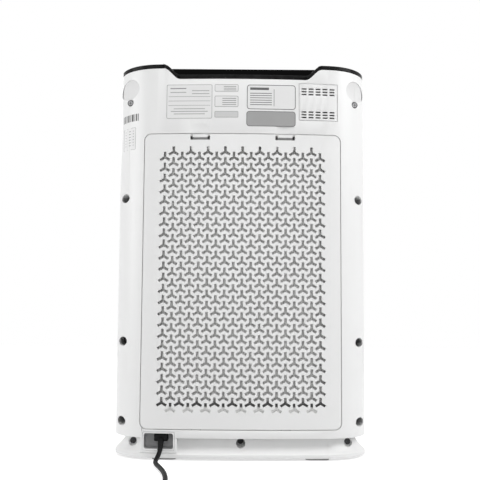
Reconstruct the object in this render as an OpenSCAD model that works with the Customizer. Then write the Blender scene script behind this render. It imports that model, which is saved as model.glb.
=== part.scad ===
// Tower air purifier that stands on the floor and draws air in through its back.
// Millimetres, +Z up, +Y towards the back. The origin is on the floor, under the middle of the body.

/* [Body] */
// Width of the body and of its plinth
body_w = 350; // [340:2:370]
// Depth of the body at its middle
body_d = 206; // [202:2:216]
// Height of the white shells' shoulders over the floor
shell_top = 534; // [530:2:544]
// Radius of the body's upright corners
corner_r = 61.6; // [56.6:1:65.6]
// Radius of the gently curved front and back
face_r = 1255; // [1055:50:1655]
// Thickness of the shells' walls
wall_t = 3; // [2.6:0.2:3.2]

/* [Base] */
// Height of the shells' lower edge over the floor
shell_foot = 29; // [28:1:30]
// How far the plinth's neck stands in from the body
neck_inset = 16; // [12:1:18]
// Height of the rubber feet
foot_h = 3; // [2:0.5:4]

/* [Rear cover] */
// Width of the removable cover
cover_w = 270; // [266:1:272]
// Height of the removable cover
cover_h = 400; // [396:1:402]
// Height of the cover's lower edge over the floor
cover_foot = 41; // [41:0.5:43]
// Thickness of the cover
cover_t = 2.5; // [2:0.1:2.6]
// Gap between the cover and the shell around it
cover_gap = 1; // [0.8:0.1:1.2]
// Distance between two columns of air holes
hole_pitch_x = 11.85; // [11.7:0.05:11.9]
// Distance between one row of air holes and the next
hole_pitch_z = 7.57; // [7.5:0.01:7.6]
// Length of one arm of a three-armed air hole
hole_arm = 7.6; // [7:0.1:7.8]
// Width of one arm of an air hole
hole_slot = 3.2; // [2.6:0.1:3.4]

/* [Top] */
// Thickness of the black top cover's rim
trim_t = 6; // [5:0.5:7]
// How far the back edge dips for the hand
dip_depth = 15.3; // [12:0.5:17]
// Width of the dip at its top
dip_w = 220; // [210:2:224]
// Depth of the hand pocket from front to back
pocket_d = 26; // [24:1:30]

/* [Fan and filter] */
// Radius of the fan wheel
fan_r = 100; // [92:1:102]
// Height of the fan's axis
fan_z = 235; // [230:1:240]
// Depth of the filter
filter_d = 44.5; // [42:0.5:45]

/* [Power inlet] */
// Width of the inlet's recess
inlet_w = 39.5; // [36:0.5:40]
// Height of the inlet's recess
inlet_h = 20.4; // [19:0.2:21]

/* [Hidden] */
$fn = 72;
fine = 720;

// The body's outline: two long arcs, two flat sides and four round corners that meet without a kink
half_w = body_w / 2;
half_d = body_d / 2;
corner_x = half_w - corner_r;
face_angle = asin(corner_x / (face_r - corner_r));
corner_y = half_d - face_r + (face_r - corner_r) * cos(face_angle);
tangent_x = face_r * sin(face_angle);
split_y = 0;

// Heights
body_top = shell_top + trim_t;
cover_top = cover_foot + cover_h;
base_lip = 8;
foot_x = half_w - 72;
foot_y = half_d - 17;
base_floor = 6;

// Rear cover, its ledge and the filter's chamber
cover_corner = 8.5;
ledge = 4;
top_ledge = 1.8;
flange_w = 7;
flange_t = 3;
chamber_half = cover_w / 2 - ledge;
chamber_t = 3;
chamber_floor = 66;
chamber_top = cover_top - top_ledge;
sill_top = 70;
// The cover curves away at its sides, so the room ends short of its inner face there, to the half millimetre
filter_clear = 1.5;
filter_lift = 2.5;
filter_end_gap = 3;
filter_room_end = round(2 * (plan_y(chamber_half) - cover_t - filter_clear)) / 2;
chamber_front = filter_room_end - filter_end_gap - filter_d - filter_lift - chamber_t;
hole_columns = 19;
hole_rows = 47;
holes_top = cover_top - 24.8;

// Latches in the cover's upper edge
latch_x = 58.5;
latch_w = 20.6;
notch_w = 27;
notch_h = 8;
latch_travel = 3.2;
latch_gap = 0.3;

// Screw wells
well_x = half_w - 12;
well_heights = [48.3, 156.4, 354.7];
well_r = 6.2;
well_wall = 1.8;
well_floor_y = split_y + 6;
screw_head_r = 4.2;
screw_head_h = 2.6;
screw_r = 2;
screw_l = 24;
cap_x = half_w - 17;
cap_z = shell_top - 44.6;
cap_r = 4.75;
cap_floor_y = half_d - 27;
cap_boss_y = cap_floor_y - 13;
base_well_x = 147;
base_well_z = 21.5;
base_well_y = half_d - 39;
base_boss_y = base_well_y - 12;
board_posts_y = [41 - half_d, half_d - 77];
post_h = 12;
board_t = 1.6;

// Soft dents in the shell
dish_x = half_w - 16;
dish_z = shell_top - 25.7;
dish_r = 14.2;
dish_depth = 1.2;
scoop_r = 16.5;
scoop_depth = 2.2;

// Sensor door on the image-right side of the back
door_x0 = -131;
door_x1 = -78;
door_z0 = 462;
door_z1 = 513;
door_t = 2;
door_gap = 0.6;
door_axis_x = door_x0 + 1.4;
door_axis_inset = 1.4;
door_pin_r = 0.9;
running_gap = 0.05;
bay_floor_y = half_d - 27;

// Power inlet
inlet_x = 110;
inlet_z0 = 14.6;
inlet_wall = 2;
inlet_front = half_d - 33;
socket_w = 18.4;
socket_z0 = 24.2;
socket_h = 10;
socket_y = half_d - 23;

// Fan and its scroll
scroll_gap = 6;
scroll_t = 2.5;
scroll_growth = well_x - well_r - well_wall - fan_r - scroll_gap - 2 * scroll_t;
scroll_front = 43.5 - half_d;
scroll_rear = chamber_front - scroll_t;
tongue_angle = 60;
duct_z = 470;
duct_x0 = -125;
duct_top = 530;
wheel_front = scroll_front + 13.5;
wheel_rear = scroll_rear - 5.5;
motor_r = 42;
motor_y0 = 11 - half_d;
motor_y1 = scroll_front + 7.5;
shaft_r = 4;
inlet_hole_r = 88;

// Top
pocket_y0 = half_d - pocket_d;
pocket_half = dip_w / 2 - 4.5;
pocket_ledge_z = 521.5;
hand_half = 68;
hand_z = 487;
pocket_wall = 3;
rim_w = 7;
grille_half = 125;
grille_y0 = scroll_front - 0.5;
grille_y1 = scroll_rear + 0.5;
panel_half = 112;
panel_y0 = 11 - half_d;
panel_y1 = panel_y0 + 26;
panel_t = 4;
button_y = panel_y0 + 13;
button_r = 8;
button_pitch = 40;
button_travel = 1.2;
button_proud = 0.6;
board_z = body_top - 19;
key_h = 6;

// Window of the display in the front
display_half = 35;
display_z0 = shell_top - 94;
display_z1 = display_z0 + 28;

// Mains lead: it leaves the plug downwards and backwards, and lies on the floor
cord_r = 3;
cord_sides = 10;
// Points that it follows: x, distance behind the body, z
lead_points = [
    [107, 1, 14], [107.4, 3.4, 12.1], [108.2, 7.2, 9.4], [109.3, 12, 6.9], [110.2, 18, 4.9],
    [110.5, 25, 3.6], [109.6, 33, 3.1], [107.2, 44, 3.1], [103.6, 57, 3.1], [99.6, 72, 3.1],
    [95.8, 88, 3.1], [92.4, 106, 3.1], [89.8, 125, 3.1], [88.3, 144, 3.1], [87.9, 162, 3.1],
    [88.6, 180, 3.1], [90.6, 197, 3.1], [93.8, 213, 3.1], [97, 225.5, 3.1], [98.2, 235, 3.1]
];
cord_route = [for (p = lead_points) [p[0], half_d + p[1], p[2]]];
boot_start = [106.8, half_d - 14, 28.6];
coil_at = [50, half_d + 235, 0];
coil_mid_r = 36;
coil_rings = 3;
coil_layers = 2;
plug_y = coil_at[1] + coil_mid_r + coil_rings * cord_r + cord_r + 0.1;
plug_z = 9;
plug_boot_x = 34;

// Y of the outline's back half at x, at a depth below the surface
function plan_y(x, depth = 0) =
    abs(x) <= (face_r - depth) * sin(face_angle)
        ? half_d - face_r + sqrt(pow(face_r - depth, 2) - x * x)
        : corner_y + sqrt(pow(corner_r - depth, 2) - pow(abs(x) - corner_x, 2));

// The outline, moved inwards by a depth
module plan(depth = 0) {
    intersection() {
        translate([0, half_d - face_r])
            circle(r = face_r - depth, $fn = fine);
        translate([0, face_r - half_d])
            circle(r = face_r - depth, $fn = fine);
        square([2 * (face_r - depth) * sin(face_angle), body_d], center = true);
    }
    square([body_w - 2 * depth, 2 * corner_y], center = true);
    for (side = [-1, 1], end = [-1, 1])
        translate([side * corner_x, end * corner_y])
            circle(r = corner_r - depth);
}

module plan_solid(depth, z0, z1) {
    translate([0, 0, z0])
        linear_extrude(height = z1 - z0)
            plan(depth);
}

// What lies between two depths below the outline's surface
module band(outer, inner, z0, z1) {
    translate([0, 0, z0])
        linear_extrude(height = z1 - z0)
            difference() {
                plan(outer);
                plan(inner);
            }
}

// A solid whose rim follows the outline with a profile: points from the top down, x is outwards from the surface
module rimmed(rim) {
    reach = (face_r - neck_inset - wall_t) * sin(face_angle);
    intersection() {
        translate([0, half_d - face_r, 0])
            rotate_extrude($fn = fine)
                rim_to_axis(rim, face_r);
        translate([0, face_r - half_d, 0])
            rotate_extrude($fn = fine)
                rim_to_axis(rim, face_r);
        block([-reach, -body_d, 0], [reach, body_d, body_top]);
    }
    for (x = [-corner_x, corner_x], y = [-corner_y, corner_y])
        translate([x, y, 0])
            rotate_extrude()
                rim_to_axis(rim, corner_r);
    translate([0, corner_y, 0])
        rotate([90, 0, 0])
            linear_extrude(height = 2 * corner_y)
                for (flip = [0, 1])
                    mirror([flip, 0])
                        rim_to_axis(rim, half_w);
}

module rim_to_axis(rim, r) {
    polygon(concat(
        [for (p = rim) [r + p[0], p[1]]],
        [[0, rim[len(rim) - 1][1]], [0, rim[0][1]]]));
}

// Extrudes a drawing of the back view, in x and z, from y0 to y1
module upright(y0, y1) {
    translate([0, y1, 0])
        rotate([90, 0, 0])
            linear_extrude(height = y1 - y0)
                children();
}

module rod_y(x, z, r, y0, y1) {
    translate([x, y1, z])
        rotate([90, 0, 0])
            cylinder(r = r, h = y1 - y0);
}

module block(low, high) {
    translate(low)
        cube(high - low);
}

module round_rect(x0, z0, x1, z1, r) {
    translate([x0 + r, z0])
        square([x1 - x0 - 2 * r, z1 - z0]);
    translate([x0, z0 + r])
        square([x1 - x0, z1 - z0 - 2 * r]);
    for (x = [x0 + r, x1 - r], z = [z0 + r, z1 - r])
        translate([x, z])
            circle(r = r);
}

// A round dent of even depth, whose floor follows the wall
module flat_dent(x, z, r, depth) {
    intersection() {
        band(-1, depth, z - r - 1, z + r + 1);
        rod_y(x, z, r, corner_y, body_d);
    }
}

// A sphere that cuts a round dent of a given radius and depth at a point of the back
module dent(x, z, r, depth) {
    ball_r = (r * r + depth * depth) / (2 * depth);
    slope = abs(x) > tangent_x ? asin((abs(x) - corner_x) / corner_r) : asin(abs(x) / face_r);
    out = ball_r - depth;
    translate([x + sign(x) * out * sin(slope), plan_y(x) + out * cos(slope), z])
        sphere(r = ball_r);
}

// ---- Shells ----

module shell_walls() {
    difference() {
        plan_solid(0, shell_foot, shell_top);
        plan_solid(wall_t, shell_foot + wall_t, shell_top + 1);
        plan_solid(neck_inset + wall_t, shell_foot - 1, shell_foot + wall_t + 1);
    }
}

// Lower edge of the hand dip: flat in the middle, with an S-shaped rise at each end
dip_slope = 23;
dip_steps = 10;
function dip_z(x) =
    let (t = (dip_w / 2 - abs(x)) / dip_slope)
        t <= 0 ? shell_top : t >= 1 ? shell_top - dip_depth
        : shell_top - dip_depth * (1 - cos(180 * t)) / 2;
function dip_xs() = concat(
    [for (k = [0 : dip_steps]) -dip_w / 2 + dip_slope * k / dip_steps],
    [for (k = [dip_steps : -1 : 0]) dip_w / 2 - dip_slope * k / dip_steps]);

module above_dip(raise) {
    polygon(concat(
        [for (x = dip_xs()) [x, dip_z(x) + raise]],
        [[dip_w / 2, body_top + 20], [-dip_w / 2, body_top + 20]]));
}

module cover_outline(grow) {
    round_rect(-cover_w / 2 - grow, cover_foot - grow, cover_w / 2 + grow, cover_top + grow, cover_corner + grow);
}

module door_outline(grow) {
    translate([door_x0 - grow, door_z0 - grow])
        square([door_x1 - door_x0 + 2 * grow, door_z1 - door_z0 + 2 * grow]);
}

module inlet_box(grow, y0, y1) {
    upright(y0, y1)
        round_rect(inlet_x - inlet_w / 2 - grow, inlet_z0 - grow,
            inlet_x + inlet_w / 2 + grow, inlet_z0 + inlet_h + grow, 3);
}

// The rear shell before its openings are cut: walls, screw tubes and dents
module rear_shell_walls() {
    difference() {
        union() {
            intersection() {
                shell_walls();
                block([-body_w, split_y, 0], [body_w, body_d, body_top]);
            }
            intersection() {
                plan_solid(1, shell_foot, shell_top);
                union() {
                    for (side = [-1, 1], z = well_heights)
                        rod_y(side * well_x, z, well_r + well_wall, split_y, half_d);
                    for (side = [-1, 1])
                        rod_y(side * cap_x, cap_z, cap_r + well_wall, cap_boss_y, half_d);
                }
            }
        }
        for (side = [-1, 1]) {
            flat_dent(side * dish_x, dish_z, dish_r, dish_depth);
            dent(side * latch_x, cover_top + cover_gap, scoop_r, scoop_depth);
        }
    }
}

module rear_shell() {
    color("white")
    difference() {
        rear_shell_walls();
        upright(50, body_d)
            cover_outline(cover_gap);
        upright(50, body_d)
            above_dip(0);
        upright(50, body_d)
            door_outline(door_gap);
        inlet_box(inlet_wall + 0.2, 50, body_d);
        for (side = [-1, 1], z = well_heights) {
            rod_y(side * well_x, z, well_r, well_floor_y, body_d);
            rod_y(side * well_x, z, screw_r, split_y - 1, well_floor_y + 1);
        }
        for (side = [-1, 1]) {
            rod_y(side * cap_x, cap_z, cap_r, cap_floor_y, body_d);
            rod_y(side * cap_x, cap_z, screw_r, cap_boss_y - 1, cap_floor_y + 1);
        }
        for (z = [door_z0 - 3, door_z1])
            translate([door_axis_x, plan_y(door_axis_x, door_axis_inset), z])
                cylinder(r = door_pin_r + running_gap, h = 3);
    }
}

module front_shell() {
    color("white")
    difference() {
        union() {
            intersection() {
                shell_walls();
                block([-body_w, -body_d, 0], [body_w, split_y, body_top]);
            }
            for (side = [-1, 1], z = well_heights) {
                rod_y(side * well_x, z, 6, split_y - 40, split_y);
                block([min(side * well_x, side * (half_w - 1)), split_y - 40, z - 1.5],
                    [max(side * well_x, side * (half_w - 1)), split_y, z + 1.5]);
            }
        }
        for (side = [-1, 1], z = well_heights)
            rod_y(side * well_x, z, screw_r, split_y - 26, split_y + 1);
        upright(-body_d, -half_d + 10)
            display_outline(0.2);
    }
}

// ---- Base ----

// Points of the plinth's concave flare, from the neck down to the lip, at a depth below its outer surface
flare_steps = 7;
function flare(depth, low) = concat(
    [for (k = [0 : flare_steps])
        let (t = k / flare_steps, s = 1 - t)
            [-neck_inset * s * s - 2 * (neck_inset - 6) * s * t - depth, shell_foot * s * s + 28 * s * t + base_lip * t * t]],
    [[-depth, low]]);

module base_plinth() {
    color("white")
    difference() {
        union() {
            difference() {
                rimmed(flare(0, foot_h));
                rimmed(flare(wall_t, foot_h - 1));
                plan_solid(neck_inset + wall_t, shell_foot - 1, shell_foot + 1);
            }
            intersection() {
                rimmed(flare(1.5, foot_h));
                for (x = [-base_well_x, 0, base_well_x])
                    rod_y(x, base_well_z, well_r + 1.2, base_boss_y, body_d);
            }
            intersection() {
                plan_solid(0.4, foot_h, shell_foot);
                block([inlet_x - inlet_w / 2 - 5, 66, inlet_z0 - 5], [inlet_x + inlet_w / 2 + 5, body_d, shell_foot]);
            }
        }
        for (x = [-base_well_x, 0, base_well_x]) {
            rod_y(x, base_well_z, well_r, base_well_y, body_d);
            rod_y(x, base_well_z, screw_r, base_boss_y - 1, base_well_y + 1);
        }
        inlet_box(inlet_wall + 0.2, 60, body_d);
    }
}

module base_plate() {
    color("whitesmoke")
    difference() {
        union() {
            plan_solid(wall_t + 0.1, foot_h, base_floor);
            for (x = [-72, 72], y = board_posts_y)
                translate([x, y, base_floor])
                    cylinder(r = 4, h = post_h);
            for (x = [-base_well_x, 0, base_well_x])
                block([x - 5, base_boss_y - 14, base_floor], [x + 5, base_boss_y, base_well_z + 5]);
        }
        for (x = [-72, 72], y = board_posts_y)
            translate([x, y, base_floor])
                cylinder(r = 1.3, h = post_h + 1);
        for (x = [-base_well_x, 0, base_well_x])
            rod_y(x, base_well_z, screw_r, base_boss_y - 13, base_boss_y + 1);
    }
}

module feet() {
    color("gainsboro")
    for (x = [-foot_x, foot_x], y = [-foot_y, foot_y])
        translate([x, y, 0])
            linear_extrude(height = foot_h)
                round_rect(-16, -6, 16, 6, 5.9);
}

// ---- Top ----

// The hand pocket: broad under the dip, and deeper in its middle for the fingers
module pocket(grow) {
    block([-pocket_half - grow, pocket_y0 - grow, pocket_ledge_z - grow], [pocket_half + grow, body_d, body_top + 1]);
    block([-hand_half - grow, pocket_y0 - grow, hand_z - grow], [hand_half + grow, body_d, body_top + 1]);
}

module top_cover() {
    color("#101010")
    difference() {
        union() {
            plan_solid(0, shell_top, body_top);
            intersection() {
                band(0, rim_w, shell_top - dip_depth, body_top);
                upright(pocket_y0, body_d)
                    above_dip(0);
            }
            intersection() {
                plan_solid(wall_t + 0.3, hand_z - pocket_wall, shell_top);
                pocket(pocket_wall);
            }
            for (flip = [0, 1])
                mirror([flip, 0, 0])
                    block([cap_x - 7, cap_boss_y - 16, cap_z - 6], [cap_x + 5, cap_boss_y, shell_top]);
        }
        intersection() {
            plan_solid(rim_w, hand_z - 1, body_top + 1);
            pocket(0);
        }
        for (side = [-1, 1])
            rod_y(side * cap_x, cap_z, screw_r, cap_boss_y - 12, cap_boss_y + 1);
        upright(pocket_y0, body_d)
            above_dip(trim_t);
        block([-grille_half - 0.3, grille_y0 - 0.3, shell_top - 1], [grille_half + 0.3, grille_y1 + 0.3, body_top + 1]);
        block([-panel_half - 0.3, panel_y0 - 0.3, body_top - panel_t], [panel_half + 0.3, panel_y1 + 0.3, body_top + 1]);
        block([-panel_half + 3, panel_y0 + 3, shell_top - 1], [panel_half - 3, panel_y1 - 3, body_top + 1]);
    }
}

slat_pitch = 10;
slat_tilt = 32;
module outlet_grille() {
    color("#181818") {
        difference() {
            block([-grille_half, grille_y0, duct_top], [grille_half, grille_y1, body_top]);
            block([-grille_half + 3, grille_y0 + 3, duct_top - 1], [grille_half - 3, grille_y1 - 3, body_top + 1]);
        }
        intersection() {
            block([-grille_half + 2, grille_y0 + 2, duct_top], [grille_half - 2, grille_y1 - 2, body_top - 0.5]);
            for (y = [grille_y0 + 8 : slat_pitch : grille_y1 - 4])
                translate([0, y, duct_top + 5])
                    rotate([slat_tilt, 0, 0])
                        cube([2 * grille_half, 1.6, 16], center = true);
        }
        for (x = [-63, 0, 63])
            block([x - 1, grille_y0 + 2, duct_top], [x + 1, grille_y1 - 2, body_top - 1]);
    }
}

function button_x(index) = (index - 2) * button_pitch;

module control_panel() {
    color("#202020")
    difference() {
        block([-panel_half, panel_y0, body_top - panel_t], [panel_half, panel_y1, body_top]);
        for (index = [0 : 4])
            translate([button_x(index), button_y, shell_top])
                cylinder(r = button_r + 0.3, h = trim_t + 1);
    }
}

module button(index) {
    color("#303030")
    translate([button_x(index), button_y, 0]) {
        translate([0, 0, body_top - panel_t - 2])
            cylinder(r = button_r, h = panel_t + 2 + button_proud);
        translate([0, 0, body_top - panel_t - 2])
            cylinder(r = button_r + 1.4, h = 2);
    }
}

module control_board() {
    color("darkgreen") {
        block([-panel_half + 8, panel_y0 + 3, board_z], [panel_half - 8, panel_y1 - 3, board_z + board_t]);
        for (index = [0 : 4]) {
            block([button_x(index) - 3, button_y - 3, board_z + board_t],
                [button_x(index) + 3, button_y + 3, board_z + key_h]);
            translate([button_x(index), button_y, board_z + key_h])
                cylinder(r = 1.6, h = body_top - panel_t - 2 - button_travel - board_z - key_h - 0.1);
        }
        for (x = [-panel_half + 11, panel_half - 11])
            translate([x, button_y, board_z + board_t])
                cylinder(r = 2.5, h = body_top - panel_t - board_z - board_t);
    }
}

module display_outline(grow) {
    round_rect(-display_half - grow, display_z0 - grow, display_half + grow, display_z1 + grow, 6);
}

module front_display() {
    color("#181c20")
    intersection() {
        band(0, wall_t, display_z0 - 10, display_z1 + 12);
        upright(-body_d, 0)
            display_outline(0);
    }
}

module display_board() {
    color("darkgreen")
    block([-display_half - 5, -half_d + wall_t + 0.7, display_z0 - 6],
        [display_half + 5, -half_d + wall_t + 0.7 + board_t, display_z1 + 6]);
}

// ---- Rear cover ----

// Outline of one three-armed hole: one arm up, two arms down
function hole_outline() = [
    for (turn = [0, -120, -240], p = [
        [-hole_slot / 2, hole_slot / 2 * tan(30)], [-hole_slot / 2, hole_arm], [hole_slot / 2, hole_arm]
    ])
        [p[0] * cos(turn) - p[1] * sin(turn), p[0] * sin(turn) + p[1] * cos(turn)]
];

module air_holes() {
    for (row = [0 : hole_rows - 1], column = [0 : hole_columns - 1])
        if ((row + column) % 2 == 1)
            translate([(column - (hole_columns - 1) / 2) * hole_pitch_x, holes_top - row * hole_pitch_z])
                polygon(hole_outline());
}

// The cover follows the body's curve in narrow flat strips
strips = 12;
edge_strips = 3;
function strip_xs() = concat(
    [for (k = [edge_strips : -1 : 1]) -tangent_x - (cover_w / 2 - tangent_x) * k / edge_strips],
    [for (k = [0 : strips]) tangent_x * (2 * k / strips - 1)],
    [for (k = [1 : edge_strips]) tangent_x + (cover_w / 2 - tangent_x) * k / edge_strips]);

module rear_cover() {
    color("white")
    difference() {
        intersection() {
            translate([0, 0, cover_foot - 1])
                linear_extrude(height = cover_h + 2)
                    polygon(concat(
                        [for (x = strip_xs()) [x, plan_y(x)]],
                        [for (x = strip_xs()) [-x, plan_y(x, cover_t)]]));
            upright(50, body_d)
                cover_outline(0);
        }
        for (side = [-1, 1])
            block([side * latch_x - notch_w / 2, 50, cover_top - notch_h], [side * latch_x + notch_w / 2, body_d, cover_top + 1]);
        upright(half_d - 20, half_d + 5)
            air_holes();
    }
}

lug_x = 60;
lug_w = 11;
module cover_fittings() {
    color("white")
    for (side = [-1, 1]) {
        intersection() {
            band(cover_t + 0.1, 5.2, cover_foot + 2, cover_foot + 8);
            block([side * lug_x - lug_w / 2, 50, 0], [side * lug_x + lug_w / 2, body_d, body_top]);
        }
        intersection() {
            band(wall_t + 0.3, 5.2, cover_foot - 3, cover_foot + 2);
            block([side * lug_x - lug_w / 2, 50, 0], [side * lug_x + lug_w / 2, body_d, body_top]);
        }
        for (edge = [-1, 1])
            intersection() {
                band(cover_t + 0.1, 6, cover_top - 21, cover_top - notch_h - 1);
                block([side * latch_x + edge * (latch_w / 2 + 1.4) - 1, 50, 0],
                    [side * latch_x + edge * (latch_w / 2 + 1.4) + 1, body_d, body_top]);
            }
    }
}

// Side view of a latch: thumb block in the cover's notch, and a slide plate behind the cover
module latch(side) {
    face = plan_y(latch_x);
    inner = face - cover_t - latch_gap - 0.6;
    foot = cover_top - notch_h + latch_travel + 0.5;
    color("whitesmoke")
    translate([side * latch_x - latch_w / 2, 0, 0])
        rotate([90, 0, 90])
            linear_extrude(height = latch_w)
                polygon([
                    [face - 0.8, cover_top - 0.4], [face - 0.8, foot],
                    [inner, foot], [inner, cover_top - 17],
                    [inner - 1.8, cover_top - 17], [inner - 1.8, cover_top - top_ledge - 0.4],
                    [face - 2.3, cover_top - top_ledge - 0.4], [face - 2.3, cover_top - 0.4]
                ]);
}

// ---- Sensor bay in the back ----

module sensor_bay() {
    color("white")
    difference() {
        union() {
            intersection() {
                plan_solid(wall_t + 0.2, door_z0 - door_gap, door_z1 + door_gap);
                block([door_x0 - door_gap, bay_floor_y - 2, 0], [door_x1 + door_gap, body_d, body_top]);
            }
            intersection() {
                band(wall_t, wall_t + 2, door_z0 - 5, door_z1 + 5);
                block([door_x0 - 5, 50, 0], [door_x1 + 5, body_d, body_top]);
            }
            intersection() {
                band(door_t, wall_t + 2, door_z0 + 8, door_z1 - 8);
                block([door_x1 - 2.6, 50, 0], [door_x1 + door_gap, body_d, body_top]);
            }
        }
        block([door_x0 + 1.9, bay_floor_y, door_z0 + 1.9], [door_x1 - 1.9, body_d, door_z1 - 1.9]);
        translate([door_axis_x, plan_y(door_axis_x, door_axis_inset), door_z0 - 0.3])
            cylinder(r = 2.2, h = door_z1 - door_z0 + 0.6);
    }
}

slot_columns = 5;
slot_pitch_x = 9.8;
slot_pitch_z = 3.9;
module door_slots() {
    for (top = [door_z1 - 7, door_z0 + 11.5], row = [0 : 2], column = [0 : slot_columns - 1])
        translate([door_x1 - 6.6 - column * slot_pitch_x, top - row * slot_pitch_z])
            square([7, 2], center = true);
}

module sensor_door() {
    color("white") {
        difference() {
            intersection() {
                band(0, door_t, door_z0, door_z1);
                upright(50, body_d)
                    door_outline(0);
            }
            upright(50, body_d)
                door_slots();
        }
        translate([door_axis_x, plan_y(door_axis_x, door_axis_inset), door_z0 - 2.4])
            cylinder(r = door_pin_r, h = door_z1 - door_z0 + 4.8);
    }
}

module dust_sensor() {
    color("dimgray")
    block([door_x0 + 6, bay_floor_y, door_z0 + 8], [door_x1 - 8, bay_floor_y + 10, door_z1 - 8]);
}

// ---- Filter ----

module filter_chamber() {
    color("gainsboro")
    difference() {
        union() {
            intersection() {
                plan_solid(wall_t + 1, 0, body_top);
                block([-chamber_half - chamber_t, chamber_front, chamber_floor - chamber_t],
                    [chamber_half + chamber_t, body_d, chamber_top + chamber_t]);
            }
            intersection() {
                band(wall_t, wall_t + flange_t, shell_foot + 8.5, cover_top + flange_w);
                upright(50, body_d)
                    translate([-cover_w / 2 - flange_w, 0])
                        square([cover_w + 2 * flange_w, body_top]);
            }
        }
        block([-chamber_half, chamber_front + chamber_t, chamber_floor], [chamber_half, filter_room_end, chamber_top]);
        block([-chamber_half, filter_room_end - 1, sill_top], [chamber_half, body_d, chamber_top]);
        rod_y(0, fan_z, inlet_hole_r + 2, 30, 60);
        for (side = [-1, 1])
            block([side * lug_x - lug_w / 2 - 1, 50, cover_foot - 4], [side * lug_x + lug_w / 2 + 1, body_d, cover_foot + 10]);
    }
}

guard_rings = [24, 42, 60, 78];
module fan_guard() {
    color("silver") {
        upright(chamber_front + chamber_t, chamber_front + chamber_t + 2.5)
            translate([0, fan_z])
                difference() {
                    circle(r = inlet_hole_r + 8);
                    circle(r = inlet_hole_r);
                }
        upright(chamber_front + chamber_t, chamber_front + chamber_t + 2.5)
            translate([0, fan_z]) {
                for (r = guard_rings)
                    difference() {
                        circle(r = r + 1);
                        circle(r = r - 1);
                    }
                for (turn = [0 : 60 : 120])
                    rotate(turn)
                        square([2 * inlet_hole_r + 4, 2.4], center = true);
            }
    }
}

filter_half = chamber_half - 3;
filter_top = chamber_top - 1.2;
filter_y0 = chamber_front + chamber_t + filter_lift;
filter_y1 = filter_y0 + filter_d;

module filter_ring(y0, y1, w) {
    difference() {
        block([-filter_half, y0, chamber_floor], [filter_half, y1, filter_top]);
        block([-filter_half + w, y0 - 1, chamber_floor + w], [filter_half - w, y1 + 1, filter_top - w]);
    }
}

module filter_frame() {
    color("lightgray")
    filter_ring(filter_y0, filter_y1, 4);
}

module filter_core(y0, y1) {
    block([-filter_half + 4, y0, chamber_floor + 4], [filter_half - 4, y1, filter_top - 4]);
}

module filter_media() {
    color("darkgray")
    filter_core(filter_y0 + 10, filter_y1 - 0.5);
}

module filter_carbon() {
    color("#303030")
    filter_core(filter_y0 + 0.5, filter_y0 + 10);
}

module filter_gasket() {
    color("#303030")
    filter_ring(filter_y1, filter_y1 + 2.5, 11);
}

module filter_tab() {
    color("whitesmoke")
    block([-14, filter_y1 + 2.5, filter_top - 45], [14, filter_y1 + 3.5, filter_top - 2]);
}

// ---- Fan ----

scroll_step = 10;
function scroll_r(angle) =
    fan_r + scroll_gap + scroll_growth * (angle - tongue_angle) / (360 - tongue_angle);
function scroll_end() = fan_r + scroll_gap + scroll_growth;
function scroll_points(grow) = [
    for (angle = [tongue_angle : scroll_step : 360])
        (scroll_r(angle) + grow) * [cos(angle), sin(angle)]
];

module scroll_inner() {
    translate([0, fan_z])
        polygon(concat(scroll_points(0), [[scroll_end(), duct_z - fan_z], [duct_x0, duct_z - fan_z]]));
}

module scroll_outer() {
    tongue = (scroll_r(tongue_angle) - 2 * scroll_t) * [cos(tongue_angle), sin(tongue_angle)];
    translate([0, fan_z]) {
        polygon(scroll_points(scroll_t));
        polygon([
            tongue, [scroll_end() + scroll_t, 0], [scroll_end() + scroll_t, duct_z - fan_z],
            [duct_x0 - 2 * scroll_t, duct_z - fan_z]
        ]);
    }
}

module scroll_back() {
    color("gainsboro")
    upright(scroll_rear, chamber_front)
        difference() {
            scroll_outer();
            translate([0, fan_z])
                circle(r = inlet_hole_r);
        }
}

module scroll_housing() {
    color("gainsboro") {
        upright(scroll_front, scroll_rear)
            difference() {
                scroll_outer();
                scroll_inner();
            }
        difference() {
            upright(scroll_front - scroll_t, scroll_front)
                difference() {
                    scroll_outer();
                    translate([0, fan_z])
                        circle(r = motor_r + 0.4);
                }
            for (turn = [45 : 90 : 315])
                rod_y(48 * cos(turn), fan_z + 48 * sin(turn), screw_r, scroll_front - scroll_t - 1, scroll_front + 1);
        }
    }
}

module outlet_duct() {
    color("gainsboro")
    difference() {
        upright(scroll_front - scroll_t, chamber_front)
            polygon([
                [duct_x0 - scroll_t, duct_z], [scroll_end() + scroll_t, duct_z],
                [grille_half + scroll_t, duct_top], [duct_x0 - scroll_t, duct_top]
            ]);
        upright(scroll_front, scroll_rear)
            polygon([
                [duct_x0, duct_z - 1], [scroll_end(), duct_z - 1],
                [grille_half - 1, duct_top + 1], [duct_x0, duct_top + 1]
            ]);
    }
}

blades = 28;
module fan_wheel() {
    color("dimgray") {
        difference() {
            union() {
                rod_y(0, fan_z, fan_r, wheel_front, wheel_front + 2);
                rod_y(0, fan_z, 14, wheel_front, wheel_front + 34);
            }
            rod_y(0, fan_z, shaft_r, wheel_front - 1, wheel_front + 35);
        }
        difference() {
            rod_y(0, fan_z, fan_r, wheel_rear - 4, wheel_rear);
            rod_y(0, fan_z, fan_r - 17, wheel_rear - 5, wheel_rear + 1);
        }
        for (index = [0 : blades - 1])
            translate([0, wheel_rear - 2, fan_z])
                rotate([90, index * 360 / blades, 0])
                    translate([fan_r - 9, 0, 0])
                        rotate(40)
                            translate([-8, -0.8, 0])
                                cube([16, 1.6, wheel_rear - wheel_front - 3]);
    }
}

module fan_shaft() {
    color("silver")
    rod_y(0, fan_z, shaft_r, motor_y1 - 18, wheel_front + 38);
}

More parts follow.
